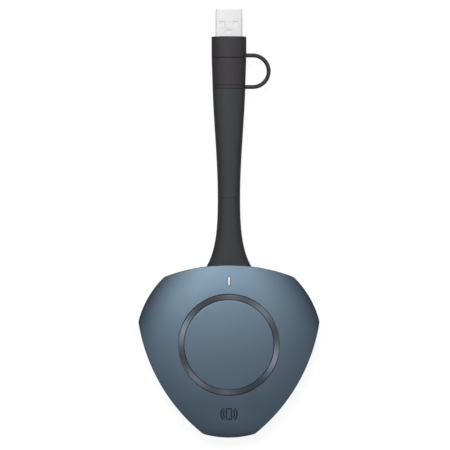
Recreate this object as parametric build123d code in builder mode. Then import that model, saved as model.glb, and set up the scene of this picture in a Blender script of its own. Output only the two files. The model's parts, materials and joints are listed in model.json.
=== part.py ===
from build123d import *
import math
import os

# Wireless display dongle: a rounded-triangle puck with one round push button, on a short flexible
# neck that ends in a USB-C plug. A tethered adapter with a USB-A plug is pushed over that plug.
# Sizes are in millimetres. The origin is on the table, under the button's axis. +Z points up out of
# the button, +Y runs along the neck to the plug, and +X is to the right seen from above.

os.makedirs("parts", exist_ok=True)

# Puck plan: three long bowed sides, and three corners that are arcs about the button's axis
side_reach = 35.4
side_bow = 82.2
corner_reach = 42.0
corner_soften = 6.0
side_angles = (90, 210, 330)
corner_angles = (30, 150, 270)

# Puck height and shell
foot_proud = 0.5
body_top = 16.0
dome_radius = 240.0
top_round = 4.5
bottom_round = 3.0
wall = 2.0
part_gap = 0.2
lip_wall = 0.9
lip_height = 0.9
lip_clearance = 0.1

# Foot pad on the underside
pad_inset = 5.5
pad_recess = 0.5
pad_clearance = 0.1
pad_edge = 0.3

# Button, ring and guide
button_radius = 19.93
button_gap = 0.27
button_travel = 0.5
button_wall = 1.8
button_edge = 0.3
skirt_wall = 1.0
ring_width = 2.2
ring_seat_clearance = 0.1
ring_flange = 1.1
ring_bevel = 0.15
sleeve_wall = 1.0
sleeve_clearance = 0.1
guide_top = 11.9
guide_thickness = 1.8
guide_rim = 2.6
guide_light_gap = 0.5
guide_clearance = 0.25
leg_wall = 1.35
leg_width_angle = 24.0
hook_width_angle = 12.0
leg_angles = (0, 120, 240)
hook_reach = 1.0
hook_height = 1.1
hook_gap = 0.1
stake_radius = 0.8
stake_head_radius = 1.3
stake_ring_gap = 1.0
stake_angles = (60, 180, 300)
stake_head_height = 0.5
stake_clearance = 0.05
post_radius = 1.7

# Screws and the posts that they join
screw_outset = 1.6
boss_radius = 2.8
post_sink = 0.3
screw_shank_radius = 1.0
screw_head_radius = 1.95
screw_head_height = 1.3
screw_reach = 10.0
screw_clearance = 0.1
pilot_clearance = 0.03
pilot_extra = 0.5
boss_root = 0.5
face_clearance = 0.05

# Main board and what stands on it
board_bottom = 3.0
board_thickness = 1.2
board_inset = 3.4
board_notch_width = 19.0
board_notch_reach = 5.4
switch_size = 6.0
switch_height = 3.4
switch_corner = 0.5
switch_bore_depth = 1.3
plunger_top = 9.2
plunger_seat = 0.4
can_width = 16.0
can_length = 13.0
can_height = 1.8
can_wall = 0.2
can_corner = 0.3
can_centre = (10.2, -10.5)
radio_board_thickness = 0.8
radio_board_border = 0.5
processor_size = 9.0
processor_height = 1.0
processor_centre = (-9.5, -7.0)
memory_width = 8.0
memory_length = 6.0
memory_height = 0.9
memory_centre = (-9.5, 5.0)
inductor_size = 4.0
inductor_height = 2.0
inductor_corner = 0.6
inductor_centre = (10.5, 7.0)
capacitor_length = 1.6
capacitor_width = 0.8
capacitor_height = 0.8
capacitor_pitch = 2.4
capacitor_rows = 2
capacitor_columns = 4
capacitor_centre = (10.5, 12.5)
lead_socket_radius = 1.1
lead_socket_height = 1.3
lead_socket_places = ((22.5, -6.0), (-22.5, -6.0))
lead_radius = 0.5
lead_z = 7.2

# Light at the top of the face
light_inset = 0.6
light_width = 1.0
light_length = 3.8
light_slot_clearance = 0.1
light_dish_width = 1.7
light_dish_length = 4.4
light_dish_depth = 0.25
light_board_bottom = 9.2
light_board_thickness = 0.6
light_board_width = 10.5
light_board_length = 4.6
light_post_spread = 4.0
light_post_radius = 1.0
light_stake_radius = 0.5
light_stake_reach = 0.4
led_width = 1.6
led_length = 3.2
led_height = 0.6
pipe_gap = 0.1
pipe_foot_width = 3.0
pipe_foot_length = 5.0
pipe_foot_height = 0.9

# Films under the dome: the tap antenna coil and the two radio antennas
film_gap = 0.05
film_thickness = 0.25
coil_width = 18.0
coil_length = 12.0
coil_track = 2.2
coil_inset = 0.6
coil_corner = 2.0
antenna_boss_gap = 1.2
antenna_wall_gap = 1.4
antenna_span_angle = 26.0
antenna_angles = (30, 150)

# Neck: one moulding over the cable, measured by half its width and half its height
neck_z = 6.5
neck_root_half_width = 9.97
neck_root_half_height = 4.3
neck_waist_half_width = 5.04
neck_waist_half_height = 4.5
neck_tip_half_width = 7.37
neck_tip_half_height = 4.15
neck_waist_y = 65.5
neck_root_sink = 0.4
neck_corner_share = 0.94
neck_bend_lower_y = 58.0
neck_bend_upper_y = 73.0
neck_bend_half_length = 4.0
neck_joint_gap = 0.05
stem_half_width = 6.5
stem_half_height = 3.0
flange_half_width = 7.5
flange_half_height = 3.7
flange_thickness = 2.0
stem_clearance = 0.1
cable_radius = 1.8
cable_clearance = 0.05
cable_reach = 11.4

# Cable clamp and the cable's plug on the board
clamp_inset = 8.7
clamp_length = 3.2
clamp_half_width = 7.6
clamp_strap = 0.5
clamp_foot_height = 1.0
clamp_bridge_half_width = 3.1
clamp_screw_spread = 5.4
clamp_screw_head_radius = 1.4
clamp_screw_head_height = 0.8
clamp_screw_shank_radius = 0.7
clamp_screw_bite = 0.7
clamp_post_radius = 1.7
header_width = 9.0
header_length = 5.0
header_height = 3.2
header_inset = 14.0
header_wall = 0.6
header_floor = 0.8
cable_plug_clearance = 0.1
cable_plug_height = 3.3

# Plug grip, tether collar and tether
seam_y = 128.4
seam_gap = 0.2
collar_y = 115.35
collar_length = 1.8
collar_depth = 1.25
grip_start_half_width = 7.4
grip_start_half_height = 4.16
collar_gap = 0.1
grip_end_half_width = 7.8
grip_end_half_height = 4.3
grip_corner_share = 0.94
tether_radius = 0.85
tether_straight_x = 10.7
tether_upper_y = 129.4
tether_socket_depth = 1.5
tether_clearance = 0.05

# USB-C plug and its small board
usb_c_width = 8.25
usb_c_height = 2.4
usb_c_reach = 6.65
usb_c_wall = 0.28
usb_c_slot_width = 7.0
usb_c_slot_height = 0.94
usb_c_slot_depth = 5.2
usb_c_clearance = 0.04
usb_c_tip_round = 0.12
usb_c_insert_setback = 0.2
moulded_clearance = 0.02
usb_c_contact_count = 12
usb_c_contact_pitch = 0.5
usb_c_contact_width = 0.25
usb_c_contact_height = 0.08
usb_c_contact_length = 4.0
plug_board_width = 8.4
plug_board_length = 5.9
plug_board_thickness = 0.8
ferrule_wall = 0.5
ferrule_length = 3.2

# Adapter: housing, USB-C socket, board and USB-A plug
adapter_half_width = 7.83
adapter_half_height = 4.3
adapter_length = 9.4
adapter_edge = 0.25
socket_clearance = 0.06
socket_wall = 0.3
socket_back = 1.0
tongue_width = 6.69
tongue_thickness = 0.7
tongue_length = 4.6
adapter_board_width = 11.0
adapter_board_height = 4.0
adapter_board_thickness = 0.6
usb_a_width = 12.0
usb_a_height = 4.5
usb_a_reach = 12.1
usb_a_wall = 0.3
usb_a_edge = 0.4
usb_a_window_width = 2.6
usb_a_window_length = 2.2
usb_a_window_spread = 3.07
usb_a_window_y = 6.0
usb_a_slot_width = 3.2
usb_a_slot_length = 1.3
usb_a_slot_y = 2.8
usb_a_tongue_thickness = 1.9
usb_a_tongue_setback = 0.9
usb_a_clearance = 0.05
usb_a_contact_width = 1.0
usb_a_contact_length = 8.5
usb_a_contact_thickness = 0.15
usb_a_contact_setback = 0.6
usb_a_contact_places = (-3.5, -1.0, 1.0, 3.5)

# Places worked out from the sizes above
dome_centre_z = body_top - dome_radius
part_z = neck_z
floor_z = foot_proud + wall
board_top = board_bottom + board_thickness
clamp_screw_low = floor_z - clamp_screw_bite
ring_inner_radius = button_radius + button_gap
ring_outer_radius = ring_inner_radius + ring_width
stake_circle = ring_outer_radius + stake_ring_gap
guide_outer_radius = stake_circle + guide_rim
screw_circle = (guide_outer_radius + corner_reach - wall) / 2 - screw_outset
antenna_inner_radius = screw_circle + boss_radius + antenna_boss_gap
coil_centre = screw_circle - coil_inset
light_centre = (ring_outer_radius + side_reach) / 2 - light_inset
guide_flat_y = light_centre - pipe_foot_length / 2 - guide_light_gap
board_notch_start = side_reach - board_notch_reach
neck_root_y = side_reach - neck_root_sink
clamp_y = side_reach - clamp_inset
cable_end_y = side_reach - cable_reach
header_y = side_reach - header_inset
ring_seat_z = body_top - dome_radius + math.sqrt(dome_radius ** 2 - ring_outer_radius ** 2) - ring_flange
sleeve_outer_radius = ring_inner_radius + sleeve_wall
guide_bottom = guide_top - guide_thickness
leg_outer_radius = button_radius - skirt_wall - guide_clearance
guide_inner_radius = leg_outer_radius + guide_clearance
hook_top = guide_bottom - hook_gap
skirt_bottom = guide_top + button_travel + hook_gap
grip_start_y = collar_y + collar_length / 2
neck_end_y = collar_y - collar_length / 2
grip_end_y = seam_y - seam_gap / 2
adapter_start_y = seam_y + seam_gap / 2
adapter_end_y = adapter_start_y + adapter_length - seam_gap / 2
socket_half_extra = socket_clearance + socket_wall
socket_back_start_y = grip_end_y + usb_c_reach + usb_c_clearance
socket_end_y = socket_back_start_y + socket_back
adapter_board_y = socket_end_y + face_clearance
usb_a_start_y = adapter_board_y + adapter_board_thickness + face_clearance
usb_a_end_y = adapter_end_y + usb_a_reach
tether_lower_y = collar_y - face_clearance


def dome_height(radius, depth=0.0):
    """Height of the domed face, or of a surface the given depth below it, at a radius."""
    return dome_centre_z + math.sqrt((dome_radius - depth) ** 2 - radius ** 2)


def on_circle(radius, angles):
    """Points at the given angles on a circle about the button's axis."""
    return [(radius * math.cos(math.radians(a)), radius * math.sin(math.radians(a))) for a in angles]


def across(y):
    """Plane across the neck at the given Y, with its own Y upwards, centred on the neck's axis."""
    return Plane(origin=(0, y, neck_z), x_dir=(1, 0, 0), z_dir=(0, -1, 0))


def puck_plan(grow=0.0):
    """Plan of the puck, grown all round by a distance, or shrunk where it is negative."""
    with BuildSketch() as plan:
        Circle(corner_reach + grow)
        for x, y in on_circle(side_reach - side_bow, side_angles):
            with Locations((x, y)):
                Circle(side_bow + grow, mode=Mode.INTERSECT)
        if corner_soften + grow > 0:
            fillet(plan.vertices(), corner_soften + grow)
    return plan.sketch


def puck_prism(grow, low, high):
    """Upright block with the puck's plan."""
    with BuildPart() as prism:
        with BuildSketch(Plane.XY.offset(low)):
            add(puck_plan(grow))
        extrude(amount=high - low)
    return prism.part


def dome_ball(depth=0.0):
    """Ball whose top is the domed face, or a surface the given depth below it."""
    with BuildPart() as ball:
        with Locations((0, 0, dome_centre_z)):
            Sphere(dome_radius - depth, rotation=(0, 90, 0))
    return ball.part


def puck_block(grow=0.0):
    """Outer form of the closed puck, grown by a clearance."""
    with BuildPart() as block:
        add(puck_prism(grow, foot_proud - grow, body_top + 1))
        add(dome_ball(-grow), mode=Mode.INTERSECT)
        fillet(block.faces().filter_by(GeomType.SPHERE).edges(), top_round)
        fillet(block.faces().sort_by(Axis.Z)[0].edges(), bottom_round)
    return block.part


def under_dome(profile, low, depth):
    """Upright solid on a flat profile, from a height up to the surface a depth below the dome."""
    with BuildPart() as block:
        with BuildSketch(Plane.XY.offset(low)):
            add(profile)
        extrude(amount=body_top - low)
        add(dome_ball(depth), mode=Mode.INTERSECT)
    return block.part


def discs(points, radius):
    """Flat profile of equal discs at the given points."""
    with BuildSketch() as profile:
        with Locations(*points):
            Circle(radius)
    return profile.sketch


def pill(length, width):
    """Flat pill profile at the light, its length along the neck."""
    with BuildSketch() as profile:
        with Locations((0, light_centre)):
            SlotOverall(length, width, rotation=90)
    return profile.sketch


def sectors(inner_radius, outer_radius, angles, span):
    """Flat profile of equal arc strips about the button's axis, each centred on an angle."""
    with BuildSketch() as profile:
        for angle in angles:
            with BuildLine():
                inner = CenterArc((0, 0), inner_radius, angle - span / 2, span)
                outer = CenterArc((0, 0), outer_radius, angle - span / 2, span)
                Line(inner @ 0, outer @ 0)
                Line(inner @ 1, outer @ 1)
            make_face()
    return profile.sketch


def dome_posts(points, radius, low):
    """Round posts that hang from the inside of the dome down to a height."""
    return under_dome(discs(points, radius), low, wall - post_sink)


def rods(points, radius, low, high):
    """Upright rods between two heights."""
    with BuildPart() as group:
        with BuildSketch(Plane.XY.offset(low)):
            with Locations(*points):
                Circle(radius)
        extrude(amount=high - low)
    return group.part


def plate(centre, width, length, low, thickness):
    """Flat rectangular plate."""
    with BuildPart() as flat:
        with BuildSketch(Plane.XY.offset(low)):
            with Locations(centre):
                Rectangle(width, length)
        extrude(amount=thickness)
    return flat.part


def rounded_run(start, end, half_width, half_height, share=grip_corner_share):
    """Straight bar along Y with a rounded rectangle section, tapering where the ends differ."""
    with BuildPart() as bar:
        for y, w, h in ((start, half_width[0], half_height[0]), (end, half_width[1], half_height[1])):
            with BuildSketch(across(y)):
                RectangleRounded(2 * w, 2 * h, share * min(w, h))
        loft()
    return bar.part


def slot_run(start, end, width, height):
    """Straight bar along Y with a slot section, as USB-C shells have."""
    with BuildPart() as bar:
        with BuildSketch(across(start)):
            SlotOverall(width, height)
        extrude(amount=end - start, dir=(0, 1, 0))
    return bar.part


def box_run(start, end, width, height, lift=0.0):
    """Straight box along Y, centred a lift above the neck's axis."""
    with BuildPart() as bar:
        with BuildSketch(across(start)):
            with Locations((0, lift)):
                Rectangle(width, height)
        extrude(amount=end - start, dir=(0, 1, 0))
    return bar.part


def folded_run(start, end, width, height, edge):
    """Straight box along Y whose long edges are rounded, as folded sheet is."""
    with BuildPart() as bar:
        add(box_run(start, end, width, height))
        fillet(bar.edges().filter_by(Axis.Y), edge)
    return bar.part


def rod_run(start, end, radius):
    """Round rod along the neck's axis."""
    with BuildPart() as bar:
        with BuildSketch(across(start)):
            Circle(radius)
        extrude(amount=end - start, dir=(0, 1, 0))
    return bar.part


def neck_half(y, root, waist, tip):
    """Half width or height of the neck at a Y: a flare to the root, a soft taper to the tip."""
    if y < neck_waist_y:
        t = (neck_waist_y - y) / (neck_waist_y - neck_root_y)
        return waist + (root - waist) * (0.6 * t ** 2.4 + 0.4 * t ** 5)
    s = (y - neck_waist_y) / (neck_end_y - neck_waist_y)
    return waist + (tip - waist) * s ** 2 * (2.25 - 1.25 * s)


def neck_run(start, end, sections):
    """Stretch of the neck between two places, lofted through evenly spaced sections."""
    with BuildPart() as run:
        for k in range(sections):
            y = start + (end - start) * k / (sections - 1)
            half_width = neck_half(y, neck_root_half_width, neck_waist_half_width, neck_tip_half_width)
            half_height = neck_half(y, neck_root_half_height, neck_waist_half_height, neck_tip_half_height)
            with BuildSketch(across(y)):
                RectangleRounded(2 * half_width, 2 * half_height, neck_corner_share * half_height)
        loft()
    return run.part


def dome_film(profile):
    """Thin film glued under the dome, cut to a flat profile."""
    with BuildPart() as film:
        add(under_dome(profile, part_z, wall + film_gap))
        add(dome_ball(wall + film_gap + film_thickness), mode=Mode.SUBTRACT)
    return film.part


def screws(points, low, head_radius, head_height, shank_radius, tip_z, head_up=False):
    """Upright screws with a cross recess, their heads at one end."""
    recess = 0.45 * head_height
    head_low = tip_z if head_up else low
    with BuildPart() as group:
        with BuildSketch(Plane.XY.offset(head_low)):
            with Locations(*points):
                Circle(head_radius)
        extrude(amount=head_height)
        with BuildSketch(Plane.XY.offset(low)):
            with Locations(*points):
                Circle(shank_radius)
        extrude(amount=tip_z - low)
        face_z = tip_z + head_height if head_up else low
        with BuildSketch(Plane.XY.offset(face_z)):
            with Locations(*points):
                Rectangle(1.2 * head_radius, 0.3 * head_radius)
                Rectangle(0.3 * head_radius, 1.2 * head_radius)
        extrude(amount=-recess if head_up else recess, mode=Mode.SUBTRACT)
    return group.part


def finish(piece, name):
    """Label a finished piece and write it to its own file."""
    piece.label = name
    export_step(piece, "parts/" + name + ".step")


screw_points = on_circle(screw_circle, corner_angles)
stake_points = on_circle(stake_circle, stake_angles)
clamp_points = [(-clamp_screw_spread, clamp_y), (clamp_screw_spread, clamp_y)]
light_post_points = [(-light_post_spread, light_centre), (light_post_spread, light_centre)]
stem_hole = rounded_run(
    side_reach - wall - 1,
    side_reach + 1,
    (stem_half_width + stem_clearance,) * 2,
    (stem_half_height + stem_clearance,) * 2,
)
outer_block = puck_block()

# Top cover: the domed face with the button's opening, the light's slot, screw posts and stakes
with BuildPart() as top_cover:
    add(outer_block)
    split(bisect_by=Plane.XY.offset(part_z + part_gap / 2), keep=Keep.TOP)
    add(under_dome(puck_plan(-wall), part_z, wall), mode=Mode.SUBTRACT)
    add(
        puck_prism(lip_wall - wall + lip_clearance, part_z, part_z + lip_height + lip_clearance),
        mode=Mode.SUBTRACT,
    )
    with BuildSketch(Plane.XY.offset(ring_seat_z)):
        Circle(ring_outer_radius + ring_seat_clearance)
    extrude(amount=body_top - ring_seat_z, mode=Mode.SUBTRACT)
    with BuildSketch(Plane.XY.offset(part_z)):
        Circle(sleeve_outer_radius + sleeve_clearance)
    extrude(amount=body_top - part_z, mode=Mode.SUBTRACT)
    light_slot = pill(light_length + 2 * light_slot_clearance, light_width + 2 * light_slot_clearance)
    with BuildSketch(Plane.XY.offset(part_z)):
        add(light_slot)
    extrude(amount=body_top - part_z, mode=Mode.SUBTRACT)
    with BuildSketch(Plane.XY.offset(dome_height(light_centre) - light_dish_depth)):
        add(pill(light_dish_length, light_dish_width))
    extrude(amount=body_top - dome_height(light_centre), mode=Mode.SUBTRACT)
    add(stem_hole, mode=Mode.SUBTRACT)
    add(dome_posts(screw_points, boss_radius, board_top + face_clearance))
    pilot_radius = screw_shank_radius + pilot_clearance
    add(rods(screw_points, pilot_radius, board_top, screw_reach + pilot_extra), mode=Mode.SUBTRACT)
    stake_low = guide_bottom - stake_head_height
    add(dome_posts(stake_points, stake_head_radius, guide_top + face_clearance))
    add(dome_posts(stake_points, stake_radius, stake_low))
    add(rods(stake_points, stake_head_radius, stake_low, guide_bottom - face_clearance))
    light_post_low = light_board_bottom + light_board_thickness + face_clearance
    add(dome_posts(light_post_points, light_post_radius, light_post_low))
    add(dome_posts(light_post_points, light_stake_radius, light_board_bottom - light_stake_reach))

# Bottom cover: the lower half with its lip, screw posts, clamp posts and the pad's recess
with BuildPart() as bottom_cover:
    add(outer_block)
    split(bisect_by=Plane.XY.offset(part_z - part_gap / 2), keep=Keep.BOTTOM)
    add(puck_prism(lip_wall - wall, floor_z, part_z + lip_height))
    add(puck_prism(-wall, floor_z, part_z + lip_height), mode=Mode.SUBTRACT)
    add(stem_hole, mode=Mode.SUBTRACT)
    add(rods(screw_points, boss_radius, floor_z - boss_root, board_bottom - face_clearance))
    add(rods(clamp_points, clamp_post_radius, floor_z - boss_root, board_bottom - face_clearance))
    add(puck_prism(-pad_inset, 0, foot_proud + pad_recess), mode=Mode.SUBTRACT)
    add(rods(screw_points, screw_shank_radius + screw_clearance, 0, board_bottom), mode=Mode.SUBTRACT)
    head_pocket_top = foot_proud + pad_recess + screw_head_height + screw_clearance
    add(rods(screw_points, screw_head_radius + screw_clearance, 0, head_pocket_top), mode=Mode.SUBTRACT)
    clamp_pilot_radius = clamp_screw_shank_radius + pilot_clearance
    clamp_pilot_low = clamp_screw_low - pilot_clearance
    add(rods(clamp_points, clamp_pilot_radius, clamp_pilot_low, board_bottom), mode=Mode.SUBTRACT)

# Foot pad: soft rubber sheet in the recess, over the screw heads
with BuildPart() as foot_pad:
    add(puck_prism(-pad_inset - pad_clearance, 0, foot_proud + pad_recess - face_clearance))
    fillet(foot_pad.faces().sort_by(Axis.Z)[0].edges(), pad_edge)

# Cover screws, from below through the board's holes into the top cover's posts
cover_screws = screws(
    screw_points,
    foot_proud + pad_recess + face_clearance,
    screw_head_radius,
    screw_head_height,
    screw_shank_radius,
    screw_reach,
)

# Ring: brushed metal trim seated on the top cover, its sleeve standing on the guide
ring_radii = (ring_inner_radius, ring_inner_radius + ring_width / 2, ring_outer_radius)
with BuildPart() as trim_ring:
    with BuildSketch(Plane.XZ) as ring_profile:
        with BuildLine():
            face_line = ThreePointArc(*[(radius, dome_height(radius)) for radius in ring_radii])
            seat_line = [(ring_outer_radius, ring_seat_z), (ring_inner_radius, ring_seat_z)]
            Polyline(face_line @ 1, *seat_line, face_line @ 0)
        make_face()
        chamfer(ring_profile.vertices().sort_by(Axis.Y)[-2:], ring_bevel)
    revolve(axis=Axis.Z)
    with BuildSketch(Plane.XY.offset(guide_top + face_clearance)):
        Circle(sleeve_outer_radius)
        Circle(ring_inner_radius, mode=Mode.SUBTRACT)
    extrude(amount=ring_seat_z - guide_top - face_clearance)

# Button cap: domed disc with a skirt, three hooked legs and a centre post
with BuildPart() as button_cap:
    add(under_dome(discs([(0, 0)], button_radius), skirt_bottom, 0))
    fillet(button_cap.faces().filter_by(GeomType.SPHERE).edges(), button_edge)
    skirt_inner_radius = button_radius - skirt_wall
    add(under_dome(discs([(0, 0)], skirt_inner_radius), skirt_bottom, button_wall), mode=Mode.SUBTRACT)
    add(
        under_dome(
            sectors(leg_outer_radius - leg_wall, leg_outer_radius, leg_angles, leg_width_angle),
            hook_top - hook_height,
            button_wall - post_sink,
        )
    )
    with BuildSketch(Plane.XY.offset(hook_top - hook_height)):
        hook_radius = leg_outer_radius + hook_reach
        add(sectors(leg_outer_radius - post_sink, hook_radius, leg_angles, hook_width_angle))
    extrude(amount=hook_height)
    add(under_dome(discs([(0, 0)], post_radius), plunger_top, button_wall - post_sink))

# Button guide: ring plate staked under the top cover, which keeps the button's hooks in, with a
# flat that leaves room for the light
with BuildPart() as button_guide:
    with BuildSketch(Plane.XY.offset(guide_bottom)):
        Circle(guide_outer_radius)
        Circle(guide_inner_radius, mode=Mode.SUBTRACT)
        with Locations(*stake_points):
            Circle(stake_radius + stake_clearance, mode=Mode.SUBTRACT)
    extrude(amount=guide_thickness)
    light_room_centre = (0, guide_flat_y + guide_outer_radius)
    light_room = 2 * guide_outer_radius
    add(plate(light_room_centre, light_room, light_room, guide_bottom, guide_thickness), mode=Mode.SUBTRACT)

# Push switch under the button, and its plunger, which moves with the button
with BuildPart() as tact_switch:
    with BuildSketch(Plane.XY.offset(board_top)):
        Rectangle(switch_size, switch_size)
    extrude(amount=switch_height)
    chamfer(tact_switch.edges().filter_by(Axis.Z), switch_corner)
    with BuildSketch(Plane.XY.offset(board_top + switch_height)):
        Circle(post_radius + stake_clearance)
    extrude(amount=-switch_bore_depth, mode=Mode.SUBTRACT)
switch_plunger = rods([(0, 0)], post_radius, board_top + switch_height - plunger_seat, plunger_top)

# Main board, with its screw holes, clamp holes and the notch for the neck's flange
with BuildPart() as main_board:
    add(puck_prism(-board_inset, board_bottom, board_top))
    add(rods(screw_points, screw_shank_radius + screw_clearance, 0, body_top), mode=Mode.SUBTRACT)
    add(rods(clamp_points, clamp_screw_shank_radius + screw_clearance, 0, body_top), mode=Mode.SUBTRACT)
    notch_length = side_reach - board_notch_start
    notch_centre = (0, board_notch_start + notch_length / 2)
    add(plate(notch_centre, board_notch_width, notch_length, 0, body_top), mode=Mode.SUBTRACT)

# Radio: a small board on the main board under its shield can
radio_board = plate(
    can_centre,
    can_width + 2 * radio_board_border,
    can_length + 2 * radio_board_border,
    board_top,
    radio_board_thickness,
)
with BuildPart() as shield_can:
    can_low = board_top + radio_board_thickness
    add(plate(can_centre, can_width, can_length, can_low, can_height))
    fillet(shield_can.edges().filter_by(Axis.Z), can_corner)
    can_hollow_width = can_width - 2 * can_wall
    can_hollow_length = can_length - 2 * can_wall
    can_hollow_height = can_height - can_wall
    add(
        plate(can_centre, can_hollow_width, can_hollow_length, can_low, can_hollow_height),
        mode=Mode.SUBTRACT,
    )

# Chips and small parts on the main board
processor_chip = plate(processor_centre, processor_size, processor_size, board_top, processor_height)
memory_chip = plate(memory_centre, memory_width, memory_length, board_top, memory_height)
with BuildPart() as power_inductor:
    add(plate(inductor_centre, inductor_size, inductor_size, board_top, inductor_height))
    chamfer(power_inductor.edges().filter_by(Axis.Z), inductor_corner)
with BuildPart() as board_capacitors:
    with BuildSketch(Plane.XY.offset(board_top)):
        with Locations(capacitor_centre):
            with GridLocations(capacitor_pitch, capacitor_pitch, capacitor_columns, capacitor_rows):
                Rectangle(capacitor_length, capacitor_width)
    extrude(amount=capacitor_height)

# Light: a small board staked under the dome, its lamp, and the clear pipe up to the face
with BuildPart() as light_board:
    light_place = (0, light_centre)
    add(plate(light_place, light_board_width, light_board_length, light_board_bottom, light_board_thickness))
    add(rods(light_post_points, light_stake_radius + stake_clearance, 0, body_top), mode=Mode.SUBTRACT)
led_low = light_board_bottom + light_board_thickness
status_led = plate((0, light_centre), led_width, led_length, led_low, led_height)
with BuildPart() as light_pipe:
    pipe_low = led_low + led_height + pipe_gap
    add(plate((0, light_centre), pipe_foot_width, pipe_foot_length, pipe_low, pipe_foot_height))
    add(under_dome(pill(light_length, light_width), pipe_low, face_clearance))

# Tap antenna: a flat coil film under the dome at the mark near the bottom of the face
with BuildSketch() as coil_profile:
    with Locations((0, -coil_centre)):
        RectangleRounded(coil_width, coil_length, coil_corner)
        RectangleRounded(
            coil_width - 2 * coil_track, coil_length - 2 * coil_track, coil_corner / 2, mode=Mode.SUBTRACT
        )
tap_antenna = dome_film(coil_profile.sketch)

# Radio antennas: an arc film in each upper corner, with its lead from a socket on the board
right_angle, left_angle = antenna_angles
with BuildSketch() as antenna_profile:
    add(sectors(antenna_inner_radius, corner_reach, antenna_angles, antenna_span_angle))
    add(puck_plan(-wall - antenna_wall_gap), mode=Mode.INTERSECT)
antenna_profiles = antenna_profile.faces().sort_by(Axis.X)
antenna_left = dome_film(antenna_profiles[0])
antenna_right = dome_film(antenna_profiles[1])
antenna_sockets = rods(lead_socket_places, lead_socket_radius, board_top, board_top + lead_socket_height)


def antenna_lead(socket, angle):
    """Thin lead from the top of its socket up to the film in the corner."""
    side = math.copysign(1, socket[0])
    film_edge = antenna_inner_radius + lead_radius + 0.3
    end_x, end_y = on_circle(film_edge, [angle - side * antenna_span_angle / 2.6])[0]
    end_z = dome_height(film_edge + lead_radius, wall + film_gap + film_thickness) - lead_radius - 0.1
    with BuildPart() as lead:
        with BuildLine() as route:
            FilletPolyline(
                (socket[0], socket[1], board_top + lead_socket_height + face_clearance),
                (socket[0], socket[1], lead_z),
                (socket[0] + side * 6.0, socket[1] + 5.0, lead_z),
                (end_x, end_y - 2.5, end_z),
                (end_x, end_y, end_z),
                radius=1.2,
            )
        with BuildSketch(Plane(origin=route.line @ 0, z_dir=route.line % 0)):
            Circle(lead_radius)
        sweep()
    return lead.part


lead_right = antenna_lead(lead_socket_places[0], right_angle)
lead_left = antenna_lead(lead_socket_places[1], left_angle)

# Cable through the neck, from its plug on the main board to the ferrule in the grip
ferrule_start_y = neck_end_y + 2 * collar_gap
ferrule_end_y = ferrule_start_y + ferrule_length
inner_cable = rod_run(cable_end_y, ferrule_end_y, cable_radius)
cable_bore = rod_run(0, seam_y, cable_radius + cable_clearance)

# Neck: root held in the puck's wall, two bending stretches, a middle and a tip
lower_bend_start = neck_bend_lower_y - neck_bend_half_length
lower_bend_end = neck_bend_lower_y + neck_bend_half_length
upper_bend_start = neck_bend_upper_y - neck_bend_half_length
upper_bend_end = neck_bend_upper_y + neck_bend_half_length
wall_bow_drop = flange_half_width ** 2 / (2 * (side_bow - wall))
flange_start_y = side_reach - wall - wall_bow_drop - stem_clearance - flange_thickness
with BuildPart() as neck_root:
    add(neck_run(side_reach - wall, lower_bend_start, 7))
    add(puck_block(face_clearance), mode=Mode.SUBTRACT)
    add(
        rounded_run(
            flange_start_y, side_reach + 1, (stem_half_width,) * 2, (stem_half_height,) * 2
        )
    )
    add(
        rounded_run(
            flange_start_y,
            flange_start_y + flange_thickness,
            (flange_half_width,) * 2,
            (flange_half_height,) * 2,
        )
    )
    add(cable_bore, mode=Mode.SUBTRACT)
with BuildPart() as neck_flex_lower:
    add(neck_run(lower_bend_start + neck_joint_gap, lower_bend_end - neck_joint_gap, 3))
    add(cable_bore, mode=Mode.SUBTRACT)
with BuildPart() as neck_middle:
    add(neck_run(lower_bend_end, upper_bend_start, 3))
    add(cable_bore, mode=Mode.SUBTRACT)
with BuildPart() as neck_flex_upper:
    add(neck_run(upper_bend_start + neck_joint_gap, upper_bend_end - neck_joint_gap, 3))
    add(cable_bore, mode=Mode.SUBTRACT)
with BuildPart() as neck_tip:
    add(neck_run(upper_bend_end, neck_end_y - face_clearance, 5))
    add(cable_bore, mode=Mode.SUBTRACT)

# Cable clamp over the cable, with its two screws into the bottom cover's posts
with BuildPart() as cable_clamp:
    strap_top = cable_radius + cable_clearance + clamp_strap
    foot_low = board_top - neck_z
    with BuildSketch(across(clamp_y - clamp_length / 2)):
        with Locations((0, foot_low + clamp_foot_height / 2)):
            Rectangle(2 * clamp_half_width, clamp_foot_height)
        with Locations((0, (foot_low + strap_top) / 2)):
            Rectangle(2 * clamp_bridge_half_width, strap_top - foot_low)
        Circle(cable_radius + cable_clearance, mode=Mode.SUBTRACT)
        with Locations((0, foot_low / 2)):
            Rectangle(2 * (cable_radius + cable_clearance), -foot_low, mode=Mode.SUBTRACT)
    extrude(amount=clamp_length, dir=(0, 1, 0))
    add(rods(clamp_points, clamp_screw_shank_radius + screw_clearance, 0, body_top), mode=Mode.SUBTRACT)
clamp_screws = screws(
    clamp_points,
    clamp_screw_low,
    clamp_screw_head_radius,
    clamp_screw_head_height,
    clamp_screw_shank_radius,
    board_top + clamp_foot_height + face_clearance,
    head_up=True,
)

# Board connector, open to the neck, and the cable's plug in it
pocket_start_y = header_y - header_length / 2 + header_wall
pocket_width = header_width - 2 * header_wall
with BuildPart() as board_connector:
    add(plate((0, header_y), header_width, header_length, board_top, header_height))
    add(
        plate(
            (0, pocket_start_y + header_length / 2),
            pocket_width,
            header_length,
            board_top + header_floor,
            header_height,
        ),
        mode=Mode.SUBTRACT,
    )
cable_plug_start_y = pocket_start_y + cable_plug_clearance
cable_plug_end_y = cable_end_y - face_clearance
cable_plug = plate(
    (0, (cable_plug_start_y + cable_plug_end_y) / 2),
    pocket_width - 2 * cable_plug_clearance,
    cable_plug_end_y - cable_plug_start_y,
    board_top + header_floor + cable_plug_clearance,
    cable_plug_height,
)

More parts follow.
